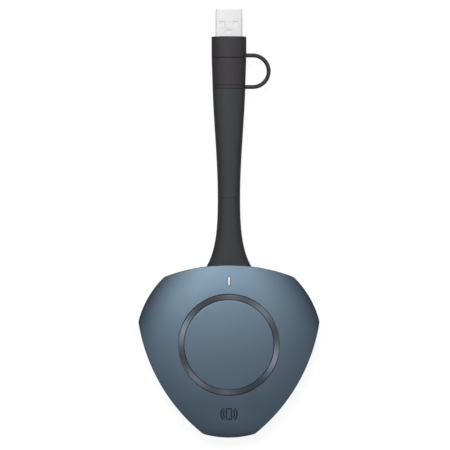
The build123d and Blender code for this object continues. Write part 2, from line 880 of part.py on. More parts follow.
# Plug grip: the moulded grip, with the narrower core that the tether's collar sits on
ferrule_radius = cable_radius + cable_clearance + ferrule_wall
plug_board_start_y = ferrule_end_y + 2 * face_clearance
plug_board_end_y = plug_board_start_y + plug_board_length
shell_start_y = plug_board_end_y + 2 * face_clearance
with BuildPart() as plug_grip:
    add(
        rounded_run(
            grip_start_y,
            grip_end_y,
            (grip_start_half_width, grip_end_half_width),
            (grip_start_half_height, grip_end_half_height),
        )
    )
    core_half_width = grip_start_half_width - collar_depth
    core_half_height = grip_start_half_height - collar_depth
    add(rounded_run(neck_end_y, grip_start_y, (core_half_width,) * 2, (core_half_height,) * 2))
    ferrule_hole_end_y = ferrule_end_y + face_clearance
    add(rod_run(0, ferrule_hole_end_y, ferrule_radius + face_clearance), mode=Mode.SUBTRACT)
    board_hole_width = plug_board_width + 2 * face_clearance
    board_hole_height = plug_board_thickness + 2 * face_clearance
    add(box_run(ferrule_end_y, shell_start_y, board_hole_width, board_hole_height), mode=Mode.SUBTRACT)
    shell_hole_width = usb_c_width + 2 * moulded_clearance
    shell_hole_height = usb_c_height + 2 * moulded_clearance
    add(slot_run(shell_start_y, seam_y, shell_hole_width, shell_hole_height), mode=Mode.SUBTRACT)
with BuildPart() as cable_ferrule:
    add(rod_run(ferrule_start_y, ferrule_end_y, ferrule_radius))
    add(cable_bore, mode=Mode.SUBTRACT)
plug_board = box_run(plug_board_start_y, plug_board_end_y, plug_board_width, plug_board_thickness)

# USB-C plug: metal shell, moulded insert and the contacts in its slot
usb_c_end_y = grip_end_y + usb_c_reach
with BuildPart() as usb_c_shell:
    add(slot_run(shell_start_y, usb_c_end_y, usb_c_width, usb_c_height))
    fillet(usb_c_shell.faces().sort_by(Axis.Y)[-1].edges(), usb_c_tip_round)
    add(
        slot_run(shell_start_y, usb_c_end_y, usb_c_width - 2 * usb_c_wall, usb_c_height - 2 * usb_c_wall),
        mode=Mode.SUBTRACT,
    )
with BuildPart() as usb_c_insert:
    add(
        slot_run(
            shell_start_y,
            usb_c_end_y - usb_c_insert_setback,
            usb_c_width - 2 * usb_c_wall - moulded_clearance,
            usb_c_height - 2 * usb_c_wall - moulded_clearance,
        )
    )
    add(
        box_run(usb_c_end_y - usb_c_slot_depth, usb_c_end_y, usb_c_slot_width, usb_c_slot_height),
        mode=Mode.SUBTRACT,
    )
with BuildPart() as usb_c_contacts:
    for side in (-1, 1):
        contact_start_y = usb_c_end_y - usb_c_slot_depth
        contact_z = side * (usb_c_slot_height - usb_c_contact_height) / 2
        with BuildSketch(across(contact_start_y)):
            with Locations((0, contact_z)):
                with GridLocations(usb_c_contact_pitch, 1, usb_c_contact_count, 1):
                    Rectangle(usb_c_contact_width, usb_c_contact_height)
        extrude(amount=usb_c_contact_length, dir=(0, 1, 0))

# Tether collar: the band round the grip that holds the tether
with BuildPart() as tether_collar:
    add(
        rounded_run(
            neck_end_y + collar_gap,
            grip_start_y - collar_gap,
            (neck_tip_half_width, grip_start_half_width),
            (neck_tip_half_height, grip_start_half_height),
        )
    )
    add(
        rounded_run(
            neck_end_y,
            grip_start_y,
            (core_half_width + face_clearance,) * 2,
            (core_half_height + face_clearance,) * 2,
        ),
        mode=Mode.SUBTRACT,
    )

# Tether: a soft D-shaped loop from the collar to the adapter
tether_bend_radius = (tether_upper_y - tether_lower_y) / 2
tether_upper_start_x = adapter_half_width - tether_socket_depth
tether_lower_start_x = grip_start_half_width + face_clearance
with BuildPart() as tether_loop:
    with BuildLine() as tether_path:
        upper = Line(
            (tether_upper_start_x, tether_upper_y, neck_z), (tether_straight_x, tether_upper_y, neck_z)
        )
        bend = ThreePointArc(
            (tether_straight_x, tether_upper_y, neck_z),
            (tether_straight_x + tether_bend_radius, (tether_upper_y + tether_lower_y) / 2, neck_z),
            (tether_straight_x, tether_lower_y, neck_z),
        )
        lower = Line(
            (tether_straight_x, tether_lower_y, neck_z), (tether_lower_start_x, tether_lower_y, neck_z)
        )
    with BuildSketch(Plane(origin=tether_path.line @ 0, z_dir=(1, 0, 0))):
        Circle(tether_radius)
    sweep()

# Adapter housing, hollow for the socket, the board and the root of the USB-A plug
socket_outer_width = usb_c_width + 2 * socket_half_extra
socket_outer_height = usb_c_height + 2 * socket_half_extra
with BuildPart() as adapter_housing:
    add(
        rounded_run(
            adapter_start_y, adapter_end_y, (adapter_half_width,) * 2, (adapter_half_height,) * 2
        )
    )
    fillet(adapter_housing.faces().sort_by(Axis.Y)[-1].edges(), adapter_edge)
    add(
        slot_run(
            adapter_start_y - 1,
            socket_end_y,
            socket_outer_width + 2 * moulded_clearance,
            socket_outer_height + 2 * moulded_clearance,
        ),
        mode=Mode.SUBTRACT,
    )
    add(
        box_run(
            socket_end_y,
            usb_a_start_y,
            adapter_board_width + 2 * face_clearance,
            adapter_board_height + 2 * face_clearance,
        ),
        mode=Mode.SUBTRACT,
    )
    add(
        box_run(
            usb_a_start_y - face_clearance,
            usb_a_end_y,
            usb_a_width + 2 * usb_a_clearance,
            usb_a_height + 2 * usb_a_clearance,
        ),
        mode=Mode.SUBTRACT,
    )
    tether_hole_place = (tether_upper_start_x - face_clearance, tether_upper_y, neck_z)
    with BuildSketch(Plane(origin=tether_hole_place, z_dir=(1, 0, 0))):
        Circle(tether_radius + tether_clearance)
    extrude(amount=tether_socket_depth + 1, mode=Mode.SUBTRACT)

# USB-C socket in the adapter: metal shell, and a moulded back with its tongue
with BuildPart() as socket_shell:
    add(slot_run(adapter_start_y, socket_end_y, socket_outer_width, socket_outer_height))
    add(
        slot_run(
            adapter_start_y,
            socket_end_y,
            socket_outer_width - 2 * socket_wall,
            socket_outer_height - 2 * socket_wall,
        ),
        mode=Mode.SUBTRACT,
    )
with BuildPart() as socket_tongue:
    add(
        slot_run(
            socket_back_start_y,
            socket_end_y,
            usb_c_width + 2 * socket_clearance - moulded_clearance,
            usb_c_height + 2 * socket_clearance - moulded_clearance,
        )
    )
    add(box_run(socket_back_start_y - tongue_length, socket_end_y, tongue_width, tongue_thickness))
adapter_board = box_run(
    adapter_board_y,
    adapter_board_y + adapter_board_thickness,
    adapter_board_width,
    adapter_board_height,
)

# USB-A plug: folded metal shell with its windows, the insulator and four contacts
with BuildPart() as usb_a_shell:
    add(folded_run(usb_a_start_y, usb_a_end_y, usb_a_width, usb_a_height, usb_a_edge))
    add(
        folded_run(
            usb_a_start_y,
            usb_a_end_y,
            usb_a_width - 2 * usb_a_wall,
            usb_a_height - 2 * usb_a_wall,
            usb_a_edge - usb_a_wall,
        ),
        mode=Mode.SUBTRACT,
    )
    with BuildSketch(Plane.XY.offset(neck_z - usb_a_height)):
        with Locations((-usb_a_window_spread, adapter_end_y + usb_a_window_y)):
            Rectangle(usb_a_window_width, usb_a_window_length)
        with Locations((usb_a_window_spread, adapter_end_y + usb_a_window_y)):
            Rectangle(usb_a_window_width, usb_a_window_length)
    extrude(amount=2 * usb_a_height, mode=Mode.SUBTRACT)
    with BuildSketch(Plane.XY.offset(neck_z)):
        with Locations((0, adapter_end_y + usb_a_slot_y)):
            SlotOverall(usb_a_slot_width, usb_a_slot_length)
    extrude(amount=usb_a_height, mode=Mode.SUBTRACT)
usb_a_inner_width = usb_a_width - 2 * usb_a_wall - 2 * usb_a_clearance
usb_a_inner_height = usb_a_height - 2 * usb_a_wall - 2 * usb_a_clearance
tongue_lift = (usb_a_inner_height - usb_a_tongue_thickness) / 2
with BuildPart() as usb_a_insulator:
    add(box_run(usb_a_start_y, adapter_end_y, usb_a_inner_width - 2 * usb_a_clearance, usb_a_inner_height))
    add(
        box_run(
            usb_a_start_y,
            usb_a_end_y - usb_a_tongue_setback,
            usb_a_inner_width - 2 * usb_a_clearance,
            usb_a_tongue_thickness,
            tongue_lift,
        )
    )
with BuildPart() as usb_a_contacts:
    contact_end_y = usb_a_end_y - usb_a_tongue_setback - usb_a_contact_setback
    contact_lift = tongue_lift - usb_a_tongue_thickness / 2 - usb_a_contact_thickness / 2
    with BuildSketch(across(contact_end_y - usb_a_contact_length)):
        for x in usb_a_contact_places:
            with Locations((x, contact_lift)):
                Rectangle(usb_a_contact_width, usb_a_contact_thickness)
    extrude(amount=usb_a_contact_length, dir=(0, 1, 0))

pieces = {
    "top_cover": top_cover.part,
    "bottom_cover": bottom_cover.part,
    "foot_pad": foot_pad.part,
    "cover_screws": cover_screws,
    "trim_ring": trim_ring.part,
    "button_cap": button_cap.part,
    "button_guide": button_guide.part,
    "tact_switch": tact_switch.part,
    "switch_plunger": switch_plunger,
    "main_board": main_board.part,
    "radio_board": radio_board,
    "shield_can": shield_can.part,
    "processor_chip": processor_chip,
    "memory_chip": memory_chip,
    "power_inductor": power_inductor.part,
    "board_capacitors": board_capacitors.part,
    "light_board": light_board.part,
    "status_led": status_led,
    "light_pipe": light_pipe.part,
    "tap_antenna": tap_antenna,
    "antenna_right": antenna_right,
    "antenna_left": antenna_left,
    "antenna_sockets": antenna_sockets,
    "antenna_lead_right": lead_right,
    "antenna_lead_left": lead_left,
    "inner_cable": inner_cable,
    "neck_root": neck_root.part,
    "neck_flex_lower": neck_flex_lower.part,
    "neck_middle": neck_middle.part,
    "neck_flex_upper": neck_flex_upper.part,
    "neck_tip": neck_tip.part,
    "cable_clamp": cable_clamp.part,
    "clamp_screws": clamp_screws,
    "board_connector": board_connector.part,
    "cable_plug": cable_plug,
    "cable_ferrule": cable_ferrule.part,
    "plug_board": plug_board,
    "plug_grip": plug_grip.part,
    "usb_c_shell": usb_c_shell.part,
    "usb_c_insert": usb_c_insert.part,
    "usb_c_contacts": usb_c_contacts.part,
    "tether_collar": tether_collar.part,
    "tether_loop": tether_loop.part,
    "adapter_housing": adapter_housing.part,
    "socket_shell": socket_shell.part,
    "socket_tongue": socket_tongue.part,
    "adapter_board": adapter_board,
    "usb_a_shell": usb_a_shell.part,
    "usb_a_insulator": usb_a_insulator.part,
    "usb_a_contacts": usb_a_contacts.part,
}
for name, piece in pieces.items():
    finish(piece, name)
print(len(pieces), "pieces written")
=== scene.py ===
# %% [markdown]
# A wireless display dongle, dressed for its picture.
#
# The real thing is a rounded-triangle puck with one large push button, a soft neck, and a plug
# with a small tethered adapter pushed over it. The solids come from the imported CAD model, which
# holds every size and every moving joint. This script gives them their looks: smooth skins where
# the eye goes, and a grained, painted, brushed or moulded finish on everything.
#
# Everything is in metres, in the CAD frame: the origin is on the table under the button, +Z is up,
# and +Y runs along the neck to the plug.

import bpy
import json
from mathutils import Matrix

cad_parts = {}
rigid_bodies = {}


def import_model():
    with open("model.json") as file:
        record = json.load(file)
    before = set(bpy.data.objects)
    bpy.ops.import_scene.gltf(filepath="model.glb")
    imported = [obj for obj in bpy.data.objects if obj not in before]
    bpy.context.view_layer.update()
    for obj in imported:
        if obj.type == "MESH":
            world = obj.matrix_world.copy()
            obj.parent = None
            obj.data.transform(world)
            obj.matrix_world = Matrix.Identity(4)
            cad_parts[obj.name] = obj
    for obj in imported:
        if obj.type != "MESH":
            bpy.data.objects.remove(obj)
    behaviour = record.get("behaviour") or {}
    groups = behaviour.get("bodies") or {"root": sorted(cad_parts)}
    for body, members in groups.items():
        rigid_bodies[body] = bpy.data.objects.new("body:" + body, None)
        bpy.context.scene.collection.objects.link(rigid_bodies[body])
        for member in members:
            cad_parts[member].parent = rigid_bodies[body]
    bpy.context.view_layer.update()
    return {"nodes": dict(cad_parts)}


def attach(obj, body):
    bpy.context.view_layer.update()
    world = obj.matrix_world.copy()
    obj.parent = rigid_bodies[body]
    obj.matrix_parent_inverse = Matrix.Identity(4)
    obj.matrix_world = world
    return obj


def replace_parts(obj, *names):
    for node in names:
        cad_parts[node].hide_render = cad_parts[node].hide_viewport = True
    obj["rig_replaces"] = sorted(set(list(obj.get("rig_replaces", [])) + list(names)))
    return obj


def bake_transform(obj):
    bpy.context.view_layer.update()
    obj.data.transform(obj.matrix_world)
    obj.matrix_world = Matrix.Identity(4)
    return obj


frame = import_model()


# %% [markdown]
# The bench needs only Blender's own modules. Sizes below are written in millimetres, as a maker
# would say them, and turned into metres by one factor where a point is made.

# %% Bench
import json
import math

import bmesh
import bpy
from mathutils import Matrix, Vector

MM = 0.001
scene = bpy.context.scene


def point(x, y, z):
    """A place given in millimetres."""
    return Vector((x * MM, y * MM, z * MM))


# %% [markdown]
# First the camera. The picture was taken straight from above with a long lens, so the camera
# stands more than a metre over the object and looks down, as a new camera does. A parallel camera
# would also do, but a long lens keeps the side views natural. The scale comes from the plug: its
# metal shell is 12 mm wide and covers 26.8 of the picture's 450 pixels.

# %% Camera
PIXELS_PER_MM = 2.2333
PICTURE_PIXELS = 450
PICTURE_MM = PICTURE_PIXELS / PIXELS_PER_MM
LENS, SENSOR = 200.0, 36.0
AIM_X, AIM_Y, AIM_Z = -1.77, 53.37, 9.0
CLIP_FAR = 20.0

camera_data = bpy.data.cameras.new("camera")
camera_data.lens = LENS
camera_data.sensor_width = SENSOR
camera_data.clip_end = CLIP_FAR
camera = bpy.data.objects.new("camera", camera_data)
camera_height = PICTURE_MM * LENS / SENSOR
camera.location = point(AIM_X, AIM_Y, AIM_Z + camera_height)
scene.collection.objects.link(camera)
bpy.context.scene.camera = camera
print("the camera is", round(camera_height), "mm above the object")

# %% [markdown]
# The world, the table and every finish are built from shader nodes. A few small helpers keep that
# readable: each makes one kind of node, and sets its inputs or feeds them from other nodes.

# %% Node helpers
def feed(tree, socket, value):
    """Set an input to a plain value, or feed it from another node's output."""
    if isinstance(value, bpy.types.NodeSocket):
        tree.links.new(value, socket)
    else:
        socket.default_value = value


def new_node(tree, kind, settings=None, **inputs):
    """A shader node. Its settings are made first, then its inputs are set or fed."""
    node = tree.nodes.new("ShaderNode" + kind)
    for label, value in (settings or {}).items():
        setattr(node, label, value)
    for label, value in inputs.items():
        feed(tree, node.inputs[label.replace("_", " ")], value)
    return node


def maths(tree, operation, *values):
    """One Math node, fed by sockets or plain numbers."""
    node = new_node(tree, "Math", {"operation": operation})
    for socket, value in zip(node.inputs, values):
        feed(tree, socket, value)
    return node.outputs[0]


def map_range(tree, value, low, high, given=(0.0, 1.0)):
    """A value stretched from a given range to low and high, and held between them."""
    ends = {"From_Min": given[0], "From_Max": given[1], "To_Min": low, "To_Max": high}
    return new_node(tree, "MapRange", Value=value, **ends).outputs["Result"]


def mix_colours(tree, share, first, second):
    """A colour that goes from the first to the second as the share goes from 0 to 1."""
    node = new_node(tree, "Mix", {"data_type": "RGBA"}, Factor=share, A=first, B=second)
    return node.outputs["Result"]


def mix_shaders(tree, share, first, second):
    """A shader that goes from the first to the second as the share goes from 0 to 1."""
    node = new_node(tree, "MixShader")
    for socket, value in zip(node.inputs, (share, first.outputs[0], second.outputs[0])):
        feed(tree, socket, value)
    return node


# %% [markdown]
# Plain studio light from big square panels, because small lamps leave hard spots. The key panel
# stands beyond the plug and a little to the left, nearly thirty degrees from straight up, so the
# dome mirrors it towards its top edge and falls away towards the bottom, as the picture shows. A
# panel low on the near side lifts the bottom of the face, and one on the right lifts the right
# corner. The panel below is only for views of the underside. The world adds an even low level,
# and is plain white to the camera.

# %% Lamps and world
scene.view_settings.view_transform = "Standard"

LAMPS = (
    # name, turn from +Y towards +X, tilt from straight up, distance (m), size (m), power (W)
    ("key_panel", -13.5, 28.5, 1.3, 0.60, 18.3),
    ("near_panel", 177.0, 66.0, 1.4, 0.70, 5.2),
    ("right_panel", 50.0, 58.0, 1.4, 0.60, 2.9),
    ("under_panel", 0.0, 180.0, 1.4, 1.00, 9.0),
)
LAMP_TARGET = point(0, 45, 8)
WORLD_LEVEL = 0.05


def add_lamp(name, turn, tilt, distance, size, power):
    """A square soft lamp aimed at the middle of the object."""
    turn, tilt = math.radians(turn), math.radians(tilt)
    out = math.sin(tilt)
    direction = Vector((math.sin(turn) * out, math.cos(turn) * out, math.cos(tilt)))
    data = bpy.data.lights.new(name, "AREA")
    data.shape = "SQUARE"
    data.size = size
    data.energy = power
    lamp = bpy.data.objects.new(name, data)
    lamp.location = LAMP_TARGET + direction * distance
    lamp.rotation_mode = "QUATERNION"
    lamp.rotation_quaternion = direction.to_track_quat("Z", "Y")
    lamp.visible_camera = False
    scene.collection.objects.link(lamp)


for row in LAMPS:
    add_lamp(*row)

world = bpy.data.worlds.new("studio")
world.use_nodes = True
scene.world = world
sky = world.node_tree
background = sky.nodes["Background"]
seen_by_camera = new_node(sky, "LightPath").outputs["Is Camera Ray"]
feed(sky, background.inputs["Color"], (1, 1, 1, 1))
feed(sky, background.inputs["Strength"], map_range(sky, seen_by_camera, WORLD_LEVEL, 1.0))
print(len(LAMPS), "lamps and a world level of", WORLD_LEVEL)

# %% [markdown]
# The table is a wide white sheet. To the camera, and in the mirror of the metal parts, it is
# nearly pure white, with a little of its real shading left in, so the object's soft shadow stays.
# Seen from underneath it is clear, so that the foot of the puck can be looked at.

# %% Table
FLOOR_HALF = 8.0
SHADOW_SHARE, BOUNCE_SHARE, PAPER_LIFT = 0.14, 0.18, 0.05
PAPER_SCALE, PAPER_TONES = 300.0, (0.86, 0.90)


def floor_material():
    """White to the camera, with part of its own shading mixed in."""
    material = bpy.data.materials.new("table_white")
    material.use_nodes = True
    tree = material.node_tree
    tree.nodes.clear()
    place = new_node(tree, "TexCoord").outputs["Object"]
    grain = new_node(tree, "TexNoise", Vector=place, Scale=PAPER_SCALE).outputs["Fac"]
    tone = map_range(tree, grain, *PAPER_TONES)
    glow = new_node(tree, "Emission", Strength=1.0 + PAPER_LIFT)
    white = mix_shaders(tree, SHADOW_SHARE, glow, new_node(tree, "BsdfDiffuse", Color=tone))
    grey = new_node(tree, "BsdfDiffuse", Color=maths(tree, "MULTIPLY", tone, BOUNCE_SHARE))
    rays = new_node(tree, "LightPath")
    seen = rays.outputs["Is Camera Ray"]
    for kind in ("Is Glossy Ray", "Is Transmission Ray"):
        seen = maths(tree, "MAXIMUM", seen, rays.outputs[kind])
    face = mix_shaders(tree, seen, grey, white)
    behind = new_node(tree, "NewGeometry").outputs["Backfacing"]
    open_way = maths(tree, "MAXIMUM", behind, rays.outputs["Is Shadow Ray"])
    both = mix_shaders(tree, open_way, face, new_node(tree, "BsdfTransparent"))
    new_node(tree, "OutputMaterial", Surface=both.outputs[0])
    return material


sheet = bmesh.new()
bmesh.ops.create_grid(sheet, x_segments=1, y_segments=1, size=FLOOR_HALF)
floor_mesh = bpy.data.meshes.new("table")
sheet.to_mesh(floor_mesh)
sheet.free()
floor_mesh.materials.append(floor_material())
floor = bpy.data.objects.new("table", floor_mesh)
scene.collection.objects.link(floor)
print("the table is", 2 * FLOOR_HALF, "m wide")

# %% [markdown]
# Finishes come next, and they share a few effects. Each effect is a node group, built once and
# given its own numbers in each material. They only put out tones and heights. All patterns read
# Object coordinates: every piece sits at the origin, so these are places on the object itself.
#
# - grain: the fine random bumps of a moulded or painted face, and its faint uneven tone
# - turned_lines: the fine rings that a lathe leaves, for the ring's brushed face
# - drawn_lines: long straight scratches along the neck's direction, for folded plug steel

# %% Shared effects
FINE_PART = 0.45


def new_group(name, inputs, outputs):
    """An empty shader group. Its inputs come with their usual values."""
    group = bpy.data.node_groups.new(name, "ShaderNodeTree")
    for label, usual in inputs.items():
        socket = group.interface.new_socket(label, in_out="INPUT", socket_type="NodeSocketFloat")
        socket.default_value = usual
    for label in outputs:
        group.interface.new_socket(label, in_out="OUTPUT", socket_type="NodeSocketFloat")
    return group, group.nodes.new("NodeGroupInput"), group.nodes.new("NodeGroupOutput")


def make_grain():
    """Fine bumps, and a broad faint unevenness of tone."""
    usual = {"Fine Scale": 5000.0, "Broad Scale": 90.0}
    group, start, end = new_group("grain", usual, ("Height", "Tone"))
    place = new_node(group, "TexCoord").outputs["Object"]
    scale = start.outputs
    fine = new_node(group, "TexNoise", Vector=place, Scale=scale["Fine Scale"], Detail=3.0)
    broad = new_node(group, "TexNoise", Vector=place, Scale=scale["Broad Scale"], Detail=4.0)
    fine_part = maths(group, "MULTIPLY", fine.outputs["Fac"], FINE_PART)
    broad_part = maths(group, "MULTIPLY", broad.outputs["Fac"], 1 - FINE_PART)
    feed(group, end.inputs["Height"], fine.outputs["Fac"])
    feed(group, end.inputs["Tone"], maths(group, "ADD", fine_part, broad_part))
    return group


def make_turned_lines():
    """Rings about the button's axis, as a lathe leaves them."""
    group, start, end = new_group("turned_lines", {"Rings Per Metre": 9000.0}, ("Height",))
    place = new_node(group, "TexCoord").outputs["Object"]
    across = new_node(group, "SeparateXYZ", Vector=place).outputs
    flat = new_node(group, "CombineXYZ", X=across["X"], Y=across["Y"])
    reach = new_node(group, "VectorMath", {"operation": "LENGTH"})
    feed(group, reach.inputs[0], flat.outputs[0])
    lines = new_node(
        group, "TexNoise", {"noise_dimensions": "1D"},
        W=reach.outputs["Value"], Scale=start.outputs[0], Detail=2.0,
    )
    feed(group, end.inputs["Height"], lines.outputs["Fac"])
    return group


def make_drawn_lines():
    """Fine scratches that run along the plug."""
    group, start, end = new_group("drawn_lines", {"Lines Per Metre": 7000.0}, ("Height",))
    place = new_node(group, "TexCoord").outputs["Object"]
    stretch = new_node(group, "Mapping", Vector=place, Scale=(1.0, 0.02, 1.0)).outputs["Vector"]
    lines = new_node(group, "TexNoise", Vector=stretch, Scale=start.outputs[0], Detail=2.0)
    feed(group, end.inputs["Height"], lines.outputs["Fac"])
    return group


GRAIN = make_grain()
TURNED = make_turned_lines()
DRAWN = make_drawn_lines()
print("shared effects:", [g.name for g in bpy.data.node_groups])

# %% [markdown]
# Every finish is the same small recipe: a base tone that drifts a little from place to place, a
# roughness that drifts with it, and a bump that makes the light break up as on the real surface.
# Only the numbers differ, from satin paint to rubber. Noise stays near the middle of its range,
# so its middle part is stretched over the whole drift. Most colours are written as the eye reads
# them on a screen, and turned into the linear values that the renderer uses. Those of the pieces
# that fill the picture were matched to it as linear values.

# %% The recipe
GRAIN_DEPTH, SCRATCH_DEPTH = 0.02 * MM, 0.01 * MM
ROUGH_DRIFT = 0.04
NOISE_MIDDLE = (0.3, 0.7)


def linear(red, green, blue):
    """Screen colour, 0 to 255, as linear values."""
    def one(v):
        v = v / 255
        return v / 12.92 if v <= 0.04045 else ((v + 0.055) / 1.055) ** 2.4
    return one(red), one(green), one(blue)


def shade(colour, factor=1.0):
    """The same hue, lighter or darker, as a solid colour."""
    return (*(c * factor for c in colour), 1)


class Finish:
    """A material under construction: its nodes, and its shader."""

    def __init__(self, name):
        self.material = bpy.data.materials.new(name)
        self.material.use_nodes = True
        self.tree = self.material.node_tree
        self.shader = self.tree.nodes["Principled BSDF"]

    def effect(self, group, **numbers):
        """Place a shared effect with its own numbers."""
        return new_node(self.tree, "Group", {"node_tree": group}, **numbers)

    def spread(self, value, low, high):
        """A value that runs from low to high with an effect."""
        return map_range(self.tree, value, low, high, NOISE_MIDDLE)

    def drift(self, value, dark, light):
        """A colour that drifts between two colours with an effect."""
        return mix_colours(self.tree, self.spread(value, 0.0, 1.0), dark, light)

    def wear(self, **inputs):
        """Set the shader's own inputs, or feed them."""
        for label, value in inputs.items():
            feed(self.tree, self.shader.inputs[label.replace("_", " ")], value)

    def bump(self, height, strength, distance):
        """Fine relief from a height."""
        relief = new_node(
            self.tree, "Bump", Strength=strength, Distance=distance, Height=height
        )
        self.wear(Normal=relief.outputs["Normal"])

    def grained(self, colour, rough, fine, relief, drift):
        """Give the shader a grain's roughness and relief, and give back its drifting tone."""
        grain = self.effect(GRAIN, Fine_Scale=fine).outputs
        self.wear(Roughness=self.spread(grain["Tone"], rough - ROUGH_DRIFT, rough + ROUGH_DRIFT))
        self.bump(grain["Height"], relief, GRAIN_DEPTH)
        return self.drift(grain["Tone"], shade(colour, 1 - drift), shade(colour, 1 + drift))


print("a screen's middle grey is", round(linear(128, 128, 128)[0], 3), "as a linear value")

# %% [markdown]
# Four kinds of finish follow from the recipe. Most pieces are moulded, with the same tone all
# over. Soft-touch plastic and rubber is dark and dull, and gets painted shade on its sides,
# darker than on top. The puck's metallic paint gets painted shade towards the corners. Both of
# these read a number that the piece itself carries, so the painted shade stays where it is from
# any side. Folded or drawn steel has scratches instead of grain.

# %% Kinds of finish
# names of the numbers that carry painted shade: on the puck's corners, and on the sides of the dark
# pieces
CORNER_SHADE, SIDE_SHADE = "painted_corner_shade", "painted_side_shade"
# where the painted side shade grows, how much of it there is, and how dark it goes
SIDE_SHADE_RANGE, SIDE_SHADE_SHARE, SIDE_SHADE_TONE = (0.04, 0.35), 0.50, 0.30
STEEL_DARK, STEEL_LIGHT, STEEL_ROUGH = 0.985, 1.01, 0.05


def moulded(name, colour, rough, fine=5000.0, relief=0.12, drift=0.10, **numbers):
    """A grained face: plastic, rubber, laminate, ceramic or ink."""
    finish = Finish(name)
    finish.wear(Base_Color=finish.grained(colour, rough, fine, relief, drift), **numbers)
    return finish.material


def soft_touch(name, colour, rough, shine):
    """Dark satin plastic or rubber, with painted shade on the sides of a piece."""
    finish = Finish(name)
    plain = finish.grained(colour, rough, fine=5000.0, relief=0.14, drift=0.06)
    side = new_node(finish.tree, "Attribute", {"attribute_name": SIDE_SHADE}).outputs["Fac"]
    share = map_range(finish.tree, side, 0.0, SIDE_SHADE_SHARE, SIDE_SHADE_RANGE)
    # painted shade: the tone darkens on the sides of the piece
    tone = mix_colours(finish.tree, share, plain, shade(colour, SIDE_SHADE_TONE))
    finish.wear(Base_Color=tone, Specular_IOR_Level=shine)
    return finish.material


def sprayed(name, colour, shaded_colour, rough):
    """Metallic satin paint, with painted shade where a piece carries a corner shade share."""
    finish = Finish(name)
    plain = finish.grained(colour, rough, fine=7000.0, relief=0.05, drift=0.03)
    corner = new_node(finish.tree, "Attribute", {"attribute_name": CORNER_SHADE}).outputs["Fac"]
    # painted shade: the paint darkens to the shaded colour as the corner shade share grows
    tone = mix_colours(finish.tree, corner, plain, shade(shaded_colour))
    finish.wear(Base_Color=tone, Metallic=0.85, Coat_Weight=0.25, Coat_Roughness=0.5)
    return finish.material


def drawn_steel(name, colour, rough, metallic):
    """Folded or drawn metal with fine scratches along the plug."""
    finish = Finish(name)
    lines = finish.effect(DRAWN).outputs["Height"]
    tone = finish.drift(lines, shade(colour, STEEL_DARK), shade(colour, STEEL_LIGHT))
    roughness = finish.spread(lines, rough - STEEL_ROUGH, rough + STEEL_ROUGH)
    finish.wear(Base_Color=tone, Roughness=roughness, Metallic=metallic)
    finish.bump(lines, strength=0.05, distance=SCRATCH_DEPTH)
    return finish.material


# %% [markdown]
# The ring has a finish of its own. It is dark metal brushed on a lathe, so its bright sectors
# come in opposite pairs, like the hands of a clock. They could be left to the lamps alone, but
# the grooves are far finer than a pixel, so the sectors are painted into the tone as highlights,
# three pairs of soft lobes, and the fine rings stay in the relief.

# %% Brushed ring
RING_BASE = 0.042
# painted highlights: each row gives a pair of bright sectors painted into the ring's tone
RING_PAINTED_HIGHLIGHTS = (
    # direction in degrees, strength, sharpness
    (45.0, 0.104, 18.0),
    (87.0, 0.060, 34.0),
    (162.0, 0.170, 18.0),
)
RING_TINT = {"Red": 0.86, "Green": 0.98, "Blue": 1.13}
RING_STREAKS = (0.9, 1.1)


def brushed_ring(name):
    """Dark lathe-brushed metal with paired painted highlights."""
    finish = Finish(name)
    tree = finish.tree
    place = new_node(tree, "TexCoord").outputs["Object"]
    across = new_node(tree, "SeparateXYZ", Vector=place).outputs
    angle = maths(tree, "ARCTAN2", across["Y"], across["X"])
    total = RING_BASE
    # each pair of sectors is a painted highlight added to the base tone
    for degrees, strength, sharpness in RING_PAINTED_HIGHLIGHTS:
        turned = maths(tree, "SUBTRACT", angle, math.radians(degrees))
        facing = maths(tree, "ABSOLUTE", maths(tree, "COSINE", turned))
        painted_highlight = maths(tree, "POWER", facing, sharpness)
        total = maths(tree, "ADD", maths(tree, "MULTIPLY", painted_highlight, strength), total)
    lines = finish.effect(TURNED).outputs["Height"]
    level = maths(tree, "MULTIPLY", total, finish.spread(lines, *RING_STREAKS))
    tint = {channel: maths(tree, "MULTIPLY", level, share) for channel, share in RING_TINT.items()}
    tone = new_node(tree, "CombineColor", **tint).outputs["Color"]
    finish.wear(Base_Color=tone, Metallic=0.0, Roughness=0.5, Specular_IOR_Level=0.12)
    finish.bump(lines, strength=0.10, distance=SCRATCH_DEPTH)
    return finish.material


# %% [markdown]
# The list of finishes, by the part of the object that wears them.

# %% Finishes
# the second colour is the painted shade that the puck's corners darken to
PAINT = sprayed("satin_paint", (0.097, 0.146, 0.192), (0.017, 0.026, 0.045), 0.555)
BASE_PLASTIC = moulded("base_plastic", linear(58, 66, 78), 0.55, 4000.0, 0.20)
FOOT_RUBBER = moulded("foot_rubber", linear(44, 45, 48), 0.85, 2500.0, 0.45)
SCREW_STEEL = drawn_steel("screw_steel", (0.55, 0.55, 0.57), 0.30, 0.9)
RING_METAL = brushed_ring("ring_metal")
INNER_PLASTIC = moulded("inner_plastic", linear(74, 78, 84), 0.60, 4000.0, 0.20)
SWITCH_PLASTIC = moulded("switch_plastic", linear(34, 34, 36), 0.50, 4000.0, 0.10)
PLUNGER_PLASTIC = moulded("plunger_plastic", linear(196, 190, 176), 0.45, 4000.0, 0.10)
LAMINATE = moulded("board_laminate", linear(22, 74, 52), 0.42, 3000.0, 0.15, 0.18)
CAN_STEEL = drawn_steel("can_steel", (0.62, 0.62, 0.64), 0.28, 0.85)
CHIP_PLASTIC = moulded("chip_plastic", linear(40, 40, 43), 0.62, 6000.0, 0.25)
CERAMIC = moulded("capacitor_ceramic", linear(168, 132, 98), 0.50, 6000.0, 0.12)
LED_WHITE = moulded("led_white", (0.85, 0.83, 0.72), 0.40, 5000.0, 0.10)
FILM_COPPER = drawn_steel("film_copper", (0.62, 0.30, 0.16), 0.40, 0.85)
